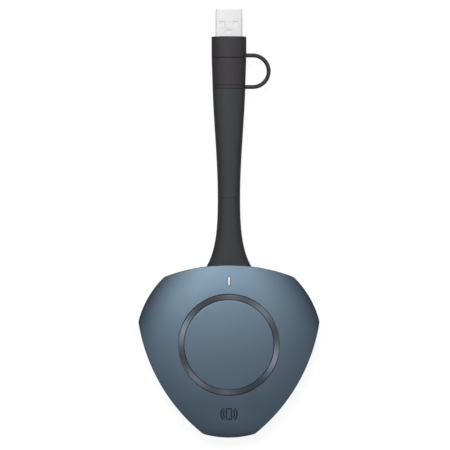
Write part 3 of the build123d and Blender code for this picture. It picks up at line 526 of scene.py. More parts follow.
LEAD_JACKET = moulded("lead_jacket", linear(52, 52, 56), 0.48, 6000.0, 0.12)
CONNECTOR_PLASTIC = moulded("connector_plastic", linear(214, 208, 190), 0.50, 5000.0, 0.12)
NECK_ELASTOMER = soft_touch("neck_elastomer", (0.0380, 0.0395, 0.0417), 0.58, 0.13)
CABLE_JACKET = moulded("cable_jacket", linear(48, 48, 50), 0.52, 5000.0, 0.15)
GRIP_PLASTIC = soft_touch("grip_plastic", (0.0359, 0.0330, 0.0375), 0.54, 0.15)
TETHER_ELASTOMER = soft_touch("tether_elastomer", (0.034, 0.033, 0.037), 0.50, 0.15)
PLUG_STEEL = drawn_steel("plug_steel", (0.55, 0.55, 0.555), 0.42, 0.12)
INSERT_PLASTIC = moulded("insert_plastic", linear(36, 36, 38), 0.50, 5000.0, 0.10)
INSULATOR = moulded("insulator_plastic", (0.655, 0.655, 0.655), 0.50, 5000.0, 0.10, 0.03)
CONTACT_GOLD = drawn_steel("contact_gold", (0.80, 0.56, 0.22), 0.28, 0.9)
MARK_INK = moulded(
    "mark_ink", (0.012, 0.017, 0.024), 0.60, 6000.0, 0.08, Specular_IOR_Level=0.2
)
# a grey that stands for the shade in the gap round the light: painted shade
LINER_SHADE = moulded("painted_shade_liner", (0.115, 0.135, 0.155), 0.55, 6000.0, 0.08)
print(len(bpy.data.materials), "materials")

# %% [markdown]
# Most skins on this object are the same kind of shape: a closed line that is swept through many
# stations, either round the button's axis or along the neck. So one helper does it. It takes
# Blender's circle, then extrudes its edge loop station by station, and moves each new loop to
# where a small function puts it. The first and last loops are bridged, or filled, so every skin
# is a closed shell. Each vertex carries its turn round the loop from one extrusion to the next.

# %% Loft helpers
def sweep_loops(bm, segments, stations, closing):
    """Extrude a ring of edges through stations. Each maps a turn in radians to a point."""
    turn = bm.verts.layers.float.get("turn") or bm.verts.layers.float.new("turn")
    ring = bmesh.ops.create_circle(bm, cap_ends=False, segments=segments, radius=1.0)
    for vert in ring["verts"]:
        vert[turn] = math.atan2(vert.co.y, vert.co.x)
        vert.co = stations[0](vert[turn])
    first = edges = list({edge for vert in ring["verts"] for edge in vert.link_edges})
    for station in stations[1:]:
        grown = bmesh.ops.extrude_edge_only(bm, edges=edges)["geom"]
        fresh = {v for v in grown if isinstance(v, bmesh.types.BMVert)}
        for vert in fresh:
            vert.co = station(vert[turn])
        edges = [e for e in grown if isinstance(e, bmesh.types.BMEdge) and set(e.verts) <= fresh]
    if closing == "joined":
        bmesh.ops.bridge_loops(bm, edges=first + edges)
    else:
        for loop in (first, edges):
            cap = bmesh.ops.contextual_create(bm, geom=loop)["faces"]
            bmesh.ops.poke(bm, faces=cap)


def keep_piece(bm, name, material, crease=40.0):
    """Turn a finished bmesh into an object with a finish, its normals outwards."""
    bmesh.ops.remove_doubles(bm, verts=bm.verts, dist=1e-7)
    bmesh.ops.recalc_face_normals(bm, faces=bm.faces)
    mesh = bpy.data.meshes.new(name)
    bm.to_mesh(mesh)
    bm.free()
    mesh.shade_smooth()
    mesh.set_sharp_from_angle(angle=math.radians(crease))
    mesh.materials.append(material)
    piece = bpy.data.objects.new(name, mesh)
    scene.collection.objects.link(piece)
    print(name, "faces", len(mesh.polygons))
    return piece


def swept_piece(name, segments, stations, closing, material, crease=40.0):
    """A piece that is one sweep."""
    bm = bmesh.new()
    sweep_loops(bm, segments, stations, closing)
    return keep_piece(bm, name, material, crease)


def add_box(bm, size, centre):
    """A box in a mesh, by its size and centre in mm. Gives back its corners."""
    corners = bmesh.ops.create_cube(bm, size=1.0)["verts"]
    bmesh.ops.scale(bm, verts=corners, vec=tuple(side * MM for side in size))
    bmesh.ops.translate(bm, verts=corners, vec=point(*centre))
    return corners


# %% [markdown]
# The puck's plan has three long bowed sides and three short corner arcs, like a guitar pick cut
# three times. Each side is part of one large circle, and the corners lie on a circle about the
# button. The outline is asked for by its direction from the centre, and where a side meets a
# corner the two are eased into each other over a few degrees, as a mould maker would break the
# edge. The face is a shallow dome that falls faster and faster the farther it is from the button,
# so the three corners roll down like a pillow's, and a small soft rim runs all round. How much
# painted shade a place gets towards a corner is worked out here too, for the paint to darken by.

# %% The puck's outline and face
SIDE_REACH, SIDE_BOW, CORNER_REACH = 35.4, 82.2, 41.8
SIDE_TURNS = (90, 210, 330)
EASE = 0.10
DOME_RADIUS, BODY_TOP = 240.0, 16.0
FALL_FROM, FALL_SPAN, FALL_DEPTH, SIDE_FALL = 22.4, 19.6, 2.5, 0.5
# where the painted corner shade starts, how far it spreads, and how fast it grows
SHADE_FROM, SHADE_SPAN, SHADE_POWER = 28.0, 14.0, 2.5


def outline(turn):
    """Distance in mm from the centre to the puck's edge, in a direction."""
    reach = [CORNER_REACH]
    for side in SIDE_TURNS:
        offset = turn - math.radians(side)
        centre = SIDE_REACH - SIDE_BOW
        across = SIDE_BOW ** 2 - (centre * math.sin(offset)) ** 2
        reach.append(centre * math.cos(offset) + math.sqrt(across))
    nearest = min(reach)
    return nearest - EASE * math.log(sum(math.exp((nearest - r) / EASE) for r in reach))


def dome(radius):
    """Height of the plain dome in mm."""
    return BODY_TOP - DOME_RADIUS + math.sqrt(DOME_RADIUS ** 2 - radius ** 2)


def corner_weight(turn):
    """One in the direction of a corner, nothing in the direction of a side."""
    return 0.5 - 0.5 * math.cos(3 * (turn - math.pi / 2))


def pillow(radius, turn):
    """Height of the face in mm before its rim is rounded: the dome, falling at a corner."""
    far = max(0.0, (radius - FALL_FROM) / FALL_SPAN)
    fall = FALL_DEPTH * (SIDE_FALL + (1 - SIDE_FALL) * corner_weight(turn))
    return dome(radius) - fall * far ** 2


def corner_shade_share(radius, turn):
    """How much painted shade a place on the face gets towards a corner, from 0 to 1."""
    far = min(1.0, max(0.0, (radius - SHADE_FROM) / SHADE_SPAN))
    return corner_weight(turn) * far ** SHADE_POWER


def radius_and_turn(place):
    """A place's distance in mm from the button's axis, and its direction."""
    return math.hypot(place.x, place.y) / MM, math.atan2(place.y, place.x)


print("outline at the neck", round(outline(math.pi / 2), 2), "mm")
print("outline at a corner", round(outline(math.pi / 6), 2), "mm")

# %% [markdown]
# Three kinds of loop shape most of the puck, the button and the ring: a plain circle at a height,
# a circle that lies on the dome, and a loop a little inside the outline. Each is a small function
# that takes a turn and gives the point there. The rounded rims come later, with their pieces.

# %% Loops round the button's axis
def polar(turn, radius, z):
    """A point in mm round the button's axis."""
    return point(radius * math.cos(turn), radius * math.sin(turn), z)


def circle_at(radius, z):
    """A plain circle round the axis."""
    return lambda turn: polar(turn, radius, z)


def circles(*places):
    """Plain circles, each by its radius and height in mm."""
    return [circle_at(radius, z) for radius, z in places]


def on_dome(*radii, below=0.0):
    """Circles that lie on the dome, or a wall's thickness below it."""
    return [circle_at(radius, dome(radius) - below) for radius in radii]


def inside_edge(inset, z):
    """A loop a little inside the outline, at a height."""
    return lambda turn: polar(turn, outline(turn) - inset, z)


def edges_at(*places):
    """Loops inside the outline, each by its inset and height in mm."""
    return [inside_edge(inset, z) for inset, z in places]


print("a loop on the dome at 20 mm is", round(dome(20.0), 2), "mm high")

# %% [markdown]
# The top cover is one sweep round the axis: up the wall of the button's hole, out over the face,
# round the rim and down to the parting line, in over the lip, and back underneath at the
# thickness of a moulded wall. Stations crowd together on the rim, where the surface turns fastest.

# %% Top cover
AROUND = 360
RING_OUT, RING_SEAT, SEAT_DROP = 22.4, 22.75, 1.1
SLEEVE_HOLE = 21.3
RIM_INSET, RIM_DROP = 0.22, 0.5
PART_Z, SEAM_HALF = 6.5, 0.1
WALL, WALL_CLEAR = 2.0, 1.2
LIP_IN, LIP_DRAFT, LIP_Z = 0.9, 0.1, 7.6
EDGE_BREAK = 0.12
FACE_STEPS, UNDER_STEPS = 26, 12


def on_face(share):
    """A loop on the face, from the ring's seat (0) out to where the rim starts (1)."""
    def place(turn):
        radius = RING_SEAT + (outline(turn) - RIM_INSET - RING_SEAT) * share
        return polar(turn, radius, pillow(radius, turn))
    return place


def on_rim(degrees):
    """A loop on the rounded rim, from the face (90) to the wall (0)."""
    across = 1 - math.cos(math.radians(degrees))
    down = 1 - math.sin(math.radians(degrees))

    def place(turn):
        radius = outline(turn) - RIM_INSET * across
        return polar(turn, radius, pillow(radius, turn) - RIM_DROP * down)
    return place


def under_face(share):
    """A loop on the underside of the cover."""
    def place(turn):
        radius = SLEEVE_HOLE + (outline(turn) - WALL - WALL_CLEAR - SLEEVE_HOLE) * share
        return polar(turn, radius, dome(radius) - WALL)
    return place


seat_floor = dome(RING_OUT) - SEAT_DROP
top_low = PART_Z + SEAM_HALF
top_stations = circles((SLEEVE_HOLE, seat_floor), (RING_SEAT, seat_floor))
top_stations += [on_face(k / FACE_STEPS) for k in range(FACE_STEPS)]
top_stations += [on_rim(degrees) for degrees in range(90, -1, -6)]
top_stations += edges_at((0, top_low + EDGE_BREAK), (EDGE_BREAK, top_low), (LIP_IN, top_low))
top_stations += edges_at((LIP_IN + LIP_DRAFT, LIP_Z), (WALL, LIP_Z))
top_stations += [under_face(1 - k / UNDER_STEPS) for k in range(UNDER_STEPS + 1)]

top = bmesh.new()
sweep_loops(top, AROUND, top_stations, "joined")
# each vertex of the top cover carries its share of painted corner shade
depth = top.verts.layers.float.new(CORNER_SHADE)
for vert in top.verts:
    vert[depth] = corner_shade_share(*radius_and_turn(vert.co))
puck_top = keep_piece(top, "puck_top", PAINT)

# %% [markdown]
# The lower cover closes the puck. It is swept the same way, from the middle of its floor up the
# inside of the wall, over the parting line, down the outside, round a soft lower edge, and in to
# the recess that holds the foot pad.

# %% Lower cover
FOOT_PROUD, BOTTOM_ROUND = 0.5, 3.0
PAD_INSET, PAD_RECESS, RECESS_BREAK = 5.5, 0.5, 0.1
FLAT_IN, FLAT_OUT = 1.0, 20.0
TONGUE_IN, TONGUE_RISE, FILLET = 1.1, 0.9, 0.8


def on_bottom_round(angle):
    """A loop on the lower edge, by degrees from the wall."""
    a = math.radians(angle)
    inset = BOTTOM_ROUND * (1 - math.cos(a))
    return inside_edge(inset, FOOT_PROUD + BOTTOM_ROUND * (1 - math.sin(a)))


def flat_out(z):
    """Two circles on a flat floor, from the middle outwards."""
    return circles((FLAT_IN, z), (FLAT_OUT, z))


floor_top, low_top = FOOT_PROUD + WALL, PART_Z - SEAM_HALF
tongue_top, pad_bed = PART_Z + TONGUE_RISE, FOOT_PROUD + PAD_RECESS
low_stations = flat_out(floor_top)
low_stations += edges_at((WALL + FILLET, floor_top), (WALL, floor_top + FILLET), (WALL, tongue_top))
low_stations += edges_at((TONGUE_IN, tongue_top), (TONGUE_IN, low_top))
low_stations += edges_at((EDGE_BREAK, low_top), (0, low_top - EDGE_BREAK))
low_stations += [on_bottom_round(a) for a in range(0, 91, 10)]
low_stations += edges_at((PAD_INSET - RECESS_BREAK, FOOT_PROUD))
low_stations += edges_at((PAD_INSET, FOOT_PROUD + RECESS_BREAK), (PAD_INSET, pad_bed))
low_stations += flat_out(pad_bed)[::-1]
puck_base = swept_piece(
    "puck_base", AROUND, low_stations, "capped", BASE_PLASTIC
)

# %% [markdown]
# The foot pad is a die-cut rubber sheet. Its lower edge is broken slightly, and it stands half a
# millimetre proud so that the puck doesn't slide.

# %% Foot pad
PAD_GAP, PAD_SINK = 0.1, 0.05
PAD_BREAK, PAD_ROUND, PAD_SHOULDER = 0.05, 0.3, 0.09
pad_edge, pad_top = PAD_INSET + PAD_GAP, pad_bed - PAD_SINK
pad_stations = flat_out(pad_top)
pad_stations += edges_at((pad_edge + PAD_BREAK, pad_top), (pad_edge, pad_top - PAD_BREAK))
pad_stations += edges_at((pad_edge, PAD_ROUND), (pad_edge + PAD_SHOULDER, PAD_SHOULDER))
pad_stations += edges_at((pad_edge + PAD_ROUND, 0.0)) + flat_out(0.0)[::-1]
foot_sheet = swept_piece("foot_sheet", AROUND, pad_stations, "capped", FOOT_RUBBER)

# %% [markdown]
# The button is a cap with a skirt. Its face continues the puck's dome across the narrow gap and
# the ring, which is why a finger finds it flush. The edge is broken by a small round that catches
# a thin line of light. Three hooked legs hold it under the guide, and a post in the middle
# reaches down to the switch.

# %% Button
ROUND_SEGMENTS = 240
BUTTON_RADIUS, BUTTON_EDGE = 20.0, 0.2
SKIRT_LOW, SKIRT_WALL, CAP_WALL = 12.5, 1.0, 1.8
LEG_TURNS = (0, 120, 240)
LEG_SIZE, LEG_PLACE = (1.35, 7.0, 5.6), (17.9, 0, 11.7)
HOOK_SIZE, HOOK_PLACE = (1.1, 3.6, 1.1), (19.1, 0, 9.45)
POST_RADIUS, POST_HEIGHT, POST_MIDDLE = 1.7, 5.3, 11.85


def button_edge(angle):
    """A loop on the button's rounded rim, by degrees from the skirt."""
    a = math.radians(angle)
    radius = BUTTON_RADIUS - BUTTON_EDGE * (1 - math.cos(a))
    return circle_at(radius, dome(BUTTON_RADIUS) - BUTTON_EDGE * (1 - math.sin(a)))


skirt_in, cap_under = BUTTON_RADIUS - SKIRT_WALL, dome(BUTTON_RADIUS) - CAP_WALL
button_stations = on_dome(0.8, 6.0, 12.0, 18.0, below=CAP_WALL)
button_stations += circles((skirt_in, cap_under), (skirt_in, SKIRT_LOW), (BUTTON_RADIUS, SKIRT_LOW))
button_stations += [button_edge(a) for a in range(0, 91, 15)]
button_stations += on_dome(19.0, *(1.5 * k for k in range(12, 0, -1)), 0.5)
cap = bmesh.new()
sweep_loops(cap, ROUND_SEGMENTS, button_stations, "capped")
for turn in LEG_TURNS:
    leg = add_box(cap, LEG_SIZE, LEG_PLACE) + add_box(cap, HOOK_SIZE, HOOK_PLACE)
    turned = Matrix.Rotation(math.radians(turn), 3, "Z")
    bmesh.ops.rotate(cap, verts=leg, cent=(0, 0, 0), matrix=turned)
post = bmesh.ops.create_cone(
    cap, cap_ends=True, segments=32,
    radius1=POST_RADIUS * MM, radius2=POST_RADIUS * MM, depth=POST_HEIGHT * MM,
)
bmesh.ops.translate(cap, verts=post["verts"], vec=point(0, 0, POST_MIDDLE))
button_top = keep_piece(cap, "button_top", PAINT)

# %% [markdown]
# The ring sits in its seat between button and cover. Its face follows the dome, with a fine bevel
# on each edge, and a sleeve reaches down to the plate that guides the button.

# %% Ring
RING_IN, RING_BEVEL, RING_NIP = 20.2, 0.08, 0.02
SLEEVE_OUT, SLEEVE_LOW = 21.2, 11.95
inner_z, outer_z = dome(RING_IN), dome(RING_OUT)
ring_stations = circles((RING_IN, SLEEVE_LOW), (RING_IN, inner_z - RING_BEVEL))
ring_stations += circles((RING_IN + RING_NIP, inner_z - RING_NIP))
ring_stations += on_dome(RING_IN + RING_BEVEL, 20.6, 21.0, 21.4, 21.8, RING_OUT - RING_BEVEL)
ring_stations += circles((RING_OUT - RING_NIP, outer_z - RING_NIP))
ring_stations += circles((RING_OUT, outer_z - RING_BEVEL), (RING_OUT, seat_floor))
ring_stations += circles((SLEEVE_OUT, seat_floor), (SLEEVE_OUT, SLEEVE_LOW))
ring_trim = swept_piece(
    "ring_trim", ROUND_SEGMENTS, ring_stations, "joined", RING_METAL, crease=30.0
)

# %% [markdown]
# The neck is one soft moulding. Seen from above it flares where it leaves the puck, is slimmest
# a third of the way along, and widens again towards the plug. Its section is an oval a little
# squarer than an ellipse, which gives the long soft highlight of the picture. It bends in two
# places, so it is made as two lengths that meet where nothing bends; neither length is tied to a
# body here. A round bore runs through both for the cable.

# %% Neck
NECK_SEGMENTS, NECK_Z = 96, 6.5
ROOT_Y, WAIST_Y, COLLAR_START = 35.0, 65.5, 114.45
ROOT_W, WAIST_W, TIP_W = 9.97, 5.04, 7.37
ROOT_H, WAIST_H, TIP_H = 4.4, 4.5, 4.15
NECK_POWER, STEM_POWER, ROUND = 2.35, 6.0, 2.0
STEM_START, FLARE_START, CUT_Y = 30.95, 34.7, 65.5
STEM = (
    # place along the neck, half width, half height
    (STEM_START, 7.5, 3.7),
    (32.95, 7.5, 3.7),
    (32.96, 6.5, 3.0),
    (34.6, 6.5, 3.0),
)
BORE, NECK_BREAK, NECK_STOP = 1.85, 0.05, 0.09
LOWER_LOOPS, UPPER_LOOPS = 62, 80


def neck_size(y, root, waist, tip):
    """Half width or half height of the neck at a place along it, in mm."""
    if y < WAIST_Y:
        t = (WAIST_Y - y) / (WAIST_Y - ROOT_Y)
        return waist + (root - waist) * (0.6 * t ** 2.4 + 0.4 * t ** 5)
    s = (y - WAIST_Y) / (COLLAR_START - WAIST_Y)
    return waist + (tip - waist) * s ** 2 * (2.25 - 1.25 * s)


def oval(y, half_width, half_height, power=NECK_POWER):
    """A loop across the neck: an ellipse, or squarer with a higher power."""
    def place(turn):
        c, s = math.cos(turn), math.sin(turn)
        x = half_width * math.copysign(abs(c) ** (2 / power), c)
        z = half_height * math.copysign(abs(s) ** (2 / power), s)
        return point(x, y, NECK_Z + z)
    return place


def spaced(start, end, count):
    """Evenly spaced places, both ends included."""
    return [start + (end - start) * k / (count - 1) for k in range(count)]


def neck_skin(start, end, count):
    """Loops on the neck's skin."""
    return [
        oval(y, neck_size(y, ROOT_W, WAIST_W, TIP_W), neck_size(y, ROOT_H, WAIST_H, TIP_H))
        for y in spaced(start, end, count)
    ]


def bore_back(start, end):
    """Loops down the round bore, from the far end back to the near end."""
    return [oval(y, BORE, BORE, ROUND) for y in spaced(end, start, round(end - start))]


lower_stations = [oval(y, w, h, STEM_POWER) for y, w, h in STEM]
lower_stations += [oval(FLARE_START, ROOT_W, ROOT_H)] + neck_skin(ROOT_Y, CUT_Y, LOWER_LOOPS)
lower_stations += bore_back(STEM_START, CUT_Y)
neck_lower = swept_piece(
    "neck_lower", NECK_SEGMENTS, lower_stations, "joined", NECK_ELASTOMER
)

neck_end = COLLAR_START - NECK_BREAK
upper_stations = neck_skin(CUT_Y, COLLAR_START - NECK_STOP, UPPER_LOOPS)
upper_stations += [oval(neck_end, TIP_W - NECK_BREAK, TIP_H - NECK_BREAK)]
upper_stations += bore_back(CUT_Y, neck_end)
neck_upper = swept_piece(
    "neck_upper", NECK_SEGMENTS, upper_stations, "joined", NECK_ELASTOMER
)

# %% [markdown]
# The cable inside bends with the neck, so it is made as two lengths in the same way.

# %% Cable inside the neck
CABLE, CABLE_SEGMENTS = 1.8, 32
CABLE_START, CABLE_END = 24.0, 117.85


def cable_length(name, start, end):
    """A solid round length of cable."""
    stations = [oval(y, CABLE, CABLE, ROUND) for y in spaced(start, end, round(end - start))]
    return swept_piece(name, CABLE_SEGMENTS, stations, "capped", CABLE_JACKET)


cable_lower = cable_length("cable_lower", CABLE_START, CUT_Y)
cable_upper = cable_length("cable_upper", CUT_Y, CABLE_END)

# %% [markdown]
# Past the neck come three hard pieces with the same oval section: the collar that holds the
# tether, the grip of the plug, and the adapter that is pushed over the plug. Thin gaps between
# them read as dark lines. Each has a broken edge, and each is hollow where something goes in.

# %% Collar, grip and adapter
GRIP_POWER, SHELL_POWER, SQUARE_POWER = 2.2, 5.0, 24.0
COLLAR_LOW, COLLAR_HIGH = 114.47, 116.19
GRIP_START, GRIP_END = 116.25, 128.3
ADAPTER_START, ADAPTER_END = 128.5, 137.8
GRIP_NEAR, GRIP_FAR, ADAPTER_SIZE = (7.40, 4.16), (7.80, 4.30), (7.83, 4.3)
# what goes in or is left open: half width, half height and power
SPIGOT, SPIGOT_HOLE = (6.15, 2.9, GRIP_POWER), (6.2, 2.96, GRIP_POWER)
CABLE_HOLE = (2.4, 2.4, ROUND)
SLEEVE_ROOM = (6.06, 2.31, SQUARE_POWER)
INSULATOR_ROOM = (5.56, 2.06, SQUARE_POWER)
PLUG_ROOM = (4.52, 1.6, SHELL_POWER)


def ovals(*rows):
    """Loops across the neck, each by its place, half width, half height and power."""
    return [oval(*row) for row in rows]


def barrel(start, end, start_size, end_size, steps, edge):
    """Outer loops of a tapering barrel with broken edges."""
    (w0, h0), (w1, h1) = start_size, end_size
    loops = [oval(start, w0 - edge, h0 - edge, GRIP_POWER)]
    for y in spaced(start + edge, end - edge, steps):
        t = (y - start) / (end - start)
        loops.append(oval(y, w0 + (w1 - w0) * t, h0 + (h1 - h0) * t, GRIP_POWER))
    loops.append(oval(end, w1 - edge, h1 - edge, GRIP_POWER))
    return loops


collar_stations = barrel(COLLAR_LOW, COLLAR_HIGH, (TIP_W, TIP_H), GRIP_NEAR, 4, 0.05)
collar_stations += ovals((COLLAR_HIGH, *SPIGOT_HOLE), (COLLAR_LOW, *SPIGOT_HOLE))
collar_band = swept_piece(
    "collar_band", NECK_SEGMENTS, collar_stations, "joined", TETHER_ELASTOMER
)

# the spigot, the outer skin, the hole for the plug and the hole for the cable
grip_stations = ovals((COLLAR_START, *SPIGOT), (116.24, *SPIGOT))
grip_stations += barrel(GRIP_START, GRIP_END, GRIP_NEAR, GRIP_FAR, 16, 0.08)
grip_stations += ovals((GRIP_END, 4.15, 1.22, SHELL_POWER), (118.0, 4.25, 1.22, SHELL_POWER))
grip_stations += ovals((117.9, *CABLE_HOLE), (COLLAR_START, *CABLE_HOLE))
grip_body = swept_piece(
    "grip_body", NECK_SEGMENTS, grip_stations, "joined", GRIP_PLASTIC
)

adapter_stations = barrel(ADAPTER_START, ADAPTER_END, ADAPTER_SIZE, ADAPTER_SIZE, 14, 0.1)
adapter_stations += ovals((ADAPTER_END, *SLEEVE_ROOM), (136.9, *SLEEVE_ROOM))
adapter_stations += ovals((136.89, *INSULATOR_ROOM), (136.12, *INSULATOR_ROOM))
adapter_stations += ovals((136.11, *PLUG_ROOM), (ADAPTER_START, *PLUG_ROOM))
adapter_body = swept_piece(
    "adapter_body", NECK_SEGMENTS, adapter_stations, "joined", GRIP_PLASTIC
)

# %% [markdown]
# The tether is a thin soft strand in the shape of a letter D. One end is moulded into the
# collar, the other into the adapter, so that the adapter isn't lost when it is pulled off. It is
# swept along its own line: straight out, half round, and straight back.

# %% Tether
STRAND, STRAND_SEGMENTS, STRAND_STEPS = 0.92, 28, 72
BEND_X, COLLAR_X, ADAPTER_X = 10.75, 7.0, 6.4
STRAND_LOW, STRAND_HIGH = 115.3, 129.45
bend_radius = (STRAND_HIGH - STRAND_LOW) / 2


def tether_place(step):
    """Centre and direction of the strand at a step from 0 (collar) to 1 (adapter)."""
    straight_low, straight_high = BEND_X - COLLAR_X, BEND_X - ADAPTER_X
    arc = math.pi * bend_radius
    travel = step * (straight_low + arc + straight_high)
    if travel < straight_low:
        return (COLLAR_X + travel, STRAND_LOW), (1.0, 0.0)
    if travel < straight_low + arc:
        a = (travel - straight_low) / bend_radius - math.pi / 2
        c, s = math.cos(a), math.sin(a)
        middle = (STRAND_LOW + STRAND_HIGH) / 2
        return (BEND_X + bend_radius * c, middle + bend_radius * s), (-s, c)
    return (BEND_X - (travel - straight_low - arc), STRAND_HIGH), (-1.0, 0.0)


def strand_loop(step):
    """A loop round the strand."""
    (cx, cy), (dx, dy) = tether_place(step)

    def place(turn):
        out = STRAND * math.cos(turn)
        return point(cx + out * dy, cy - out * dx, NECK_Z + STRAND * math.sin(turn))
    return place


strand_stations = [strand_loop(k / STRAND_STEPS) for k in range(STRAND_STEPS + 1)]
tether_strand = swept_piece(
    "tether_strand", STRAND_SEGMENTS, strand_stations, "capped",
    TETHER_ELASTOMER,
)

# %% [markdown]
# The plug's sleeve is folded from bright sheet. A box is scaled to size, its two ends are
# opened, its long edges are rounded, and a wall is given to what is left.

# %% Plug sleeve
PLUG_START, PLUG_END = 136.8, 149.9
PLUG_W, PLUG_H, PLUG_WALL, PLUG_FOLD = 12.0, 4.5, 0.3, 0.55


def runs_along(edge):
    """True for an edge that runs along the plug."""
    return abs((edge.verts[0].co - edge.verts[1].co).normalized().y) > 0.9


sleeve = bmesh.new()
plug_middle = (PLUG_START + PLUG_END) / 2
add_box(sleeve, (PLUG_W, PLUG_END - PLUG_START, PLUG_H), (0, plug_middle, NECK_Z))
ends = [f for f in sleeve.faces if abs(f.normal.y) > 0.9]
bmesh.ops.delete(sleeve, geom=ends, context="FACES_ONLY")
bmesh.ops.bevel(
    sleeve, geom=[e for e in sleeve.edges if runs_along(e)], offset=PLUG_FOLD * MM,
    segments=6, profile=0.5, affect="EDGES", material=-1,
)
bmesh.ops.recalc_face_normals(sleeve, faces=sleeve.faces)
bmesh.ops.solidify(sleeve, geom=list(sleeve.faces), thickness=PLUG_WALL * MM)
usb_a_sleeve = keep_piece(sleeve, "usb_a_sleeve", PLUG_STEEL)

# %% [markdown]
# The latch windows are then cut, two in the upper face and two in the lower, and a small slot. A
# punch draws the edges of a window in a little, so each window's cutter narrows towards the
# inside of the sleeve. The slanted edges that it leaves are what shows the windows to a camera
# straight above. The slot's cutter has two rounded ends, like a pill, and so has the light's.

# %% Windows and slot
CUTTER_SEGMENTS = 64
WINDOW_X, WINDOW_Y = 3.07, 143.4
WINDOW_W, WINDOW_L = 2.45, 2.2
CUT_REACH, CUT_DRAFT = 3.0, 0.3
SLOT_Y, SLOT_W, SLOT_L, SLOT_HIGH = 140.2, 3.2, 1.3, 3.0


def window_cutter(name, x, way):
    """A square cutter for a window in the upper (1) or lower (-1) face, narrower inside."""
    cutter = bmesh.new()
    for vert in bmesh.ops.create_cube(cutter, size=1.0)["verts"]:
        depth = PLUG_H / 2 - (CUT_REACH if vert.co.z > 0 else 0.0)
        width, length = WINDOW_W - 2 * CUT_DRAFT * depth, WINDOW_L - 2 * CUT_DRAFT * depth
        height = way * (PLUG_H / 2 - depth)
        vert.co = point(x + vert.co.x * width, WINDOW_Y + vert.co.y * length, NECK_Z + height)
    return keep_piece(cutter, name, PLUG_STEEL)


def pill_loop(y, width, length, z):
    """A flat loop with two rounded ends, centred over the neck's line."""
    straight = abs(length - width) / 2

    def place(turn):
        c, s = math.cos(turn), math.sin(turn)
        if length > width:
            return point(width / 2 * c, y + width / 2 * s + math.copysign(straight, s), z)
        return point(length / 2 * c + math.copysign(straight, c), y + length / 2 * s, z)
    return place


def pill_cutter(name, y, z, width, length, height):
    """An upright cutter with two rounded ends."""
    stations = [pill_loop(y, width, length, level) for level in (z, z + height)]
    return swept_piece(name, CUTTER_SEGMENTS, stations, "capped", PLUG_STEEL)


def cut_away(piece, cutters, crease=40.0):
    """Cut pieces out of a mesh for good, and remove the cutters."""
    for cutter in cutters:
        step = piece.modifiers.new("cut", "BOOLEAN")
        step.operation = "DIFFERENCE"
        step.solver = "EXACT"
        step.object = cutter
    bpy.context.view_layer.update()
    held = piece.evaluated_get(bpy.context.evaluated_depsgraph_get())
    made = bpy.data.meshes.new_from_object(held)
    name = piece.data.name
    piece.modifiers.clear()
    piece.data = made
    made.name = name
    made.shade_smooth()
    made.set_sharp_from_angle(angle=math.radians(crease))
    for cutter in cutters:
        bpy.data.objects.remove(cutter)
    print(piece.name, "faces after cutting", len(made.polygons))


places = ((-WINDOW_X, 1), (WINDOW_X, 1), (-WINDOW_X, -1), (WINDOW_X, -1))
punches = [window_cutter(f"window_cutter_{k}", x, way) for k, (x, way) in enumerate(places)]
punches.append(pill_cutter("slot_cutter", SLOT_Y, NECK_Z, SLOT_W, SLOT_L, SLOT_HIGH))
cut_away(usb_a_sleeve, punches)

# %% [markdown]
# Back on the puck, the light needs its shallow dished recess with a slot through it, and the
# neck's stem needs its opening in the wall. These are cut from the covers in the same way.

# %% Recess for the light, opening for the stem
LIGHT_Y = 28.3
DISH_W, DISH_L, DISH_DEPTH = 1.7, 4.4, 0.6
SHAFT_W, SHAFT_L, SHAFT_LOW, SHAFT_HIGH = 1.2, 4.0, 8.0, 8.0
OPENING_W, OPENING_H, OPENING_START, OPENING_END = 6.6, 3.1, 32.4, 36.4

light_top = pillow(LIGHT_Y, math.pi / 2)
dish = pill_cutter("dish_cutter", LIGHT_Y, light_top - DISH_DEPTH, DISH_W, DISH_L, 2.0)
shaft = pill_cutter("light_slot_cutter", LIGHT_Y, SHAFT_LOW, SHAFT_W, SHAFT_L, SHAFT_HIGH)


def stem_cutter(name):
    """A bar through the wall, where the neck's stem passes."""
    size = OPENING_W, OPENING_H, STEM_POWER
    stations = ovals((OPENING_START, *size), (OPENING_END, *size))
    return swept_piece(name, NECK_SEGMENTS, stations, "capped", NECK_ELASTOMER)


cut_away(puck_top, [dish, shaft, stem_cutter("stem_cutter_top")], crease=50.0)
cut_away(puck_base, [stem_cutter("stem_cutter_base")])

# %% [markdown]
# The light itself is the milky end of a clear plastic pipe. It glows evenly, so its face gets a
# soft white emission on top of its own grain. The pipe keeps its foot, which sits over the lamp.
# A thin grey liner fills the dish round it as painted shade in the gap, and shows in the picture as
# a faint darker line.

# %% Light
PIPE_SEGMENTS = 48
FOOT_SIZE, FOOT_Z, PIPE_LOW = (3.0, 5.0, 0.9), 10.95, 11.3
PIPE, LINER_IN, LINER_OUT = (1.0, 3.8), (1.02, 3.82), (1.64, 4.34)  # width and length


def glowing(name):
    """Milky plastic with an even white glow."""
    finish = Finish(name)
    grain = finish.effect(GRAIN, Fine_Scale=3000.0).outputs
    tone = finish.drift(grain["Tone"], (0.60, 0.61, 0.62, 1), (0.65, 0.66, 0.67, 1))
    finish.bump(grain["Height"], strength=0.05, distance=GRAIN_DEPTH)
    finish.wear(Base_Color=tone, Roughness=0.35)
    finish.wear(Emission_Color=(1, 1, 1, 1), Emission_Strength=0.06)
    return finish.material


def light_loops(*rows):
    """Pill-shaped loops round the light, each by its width, length and height in mm."""
    return [pill_loop(LIGHT_Y, *row) for row in rows]


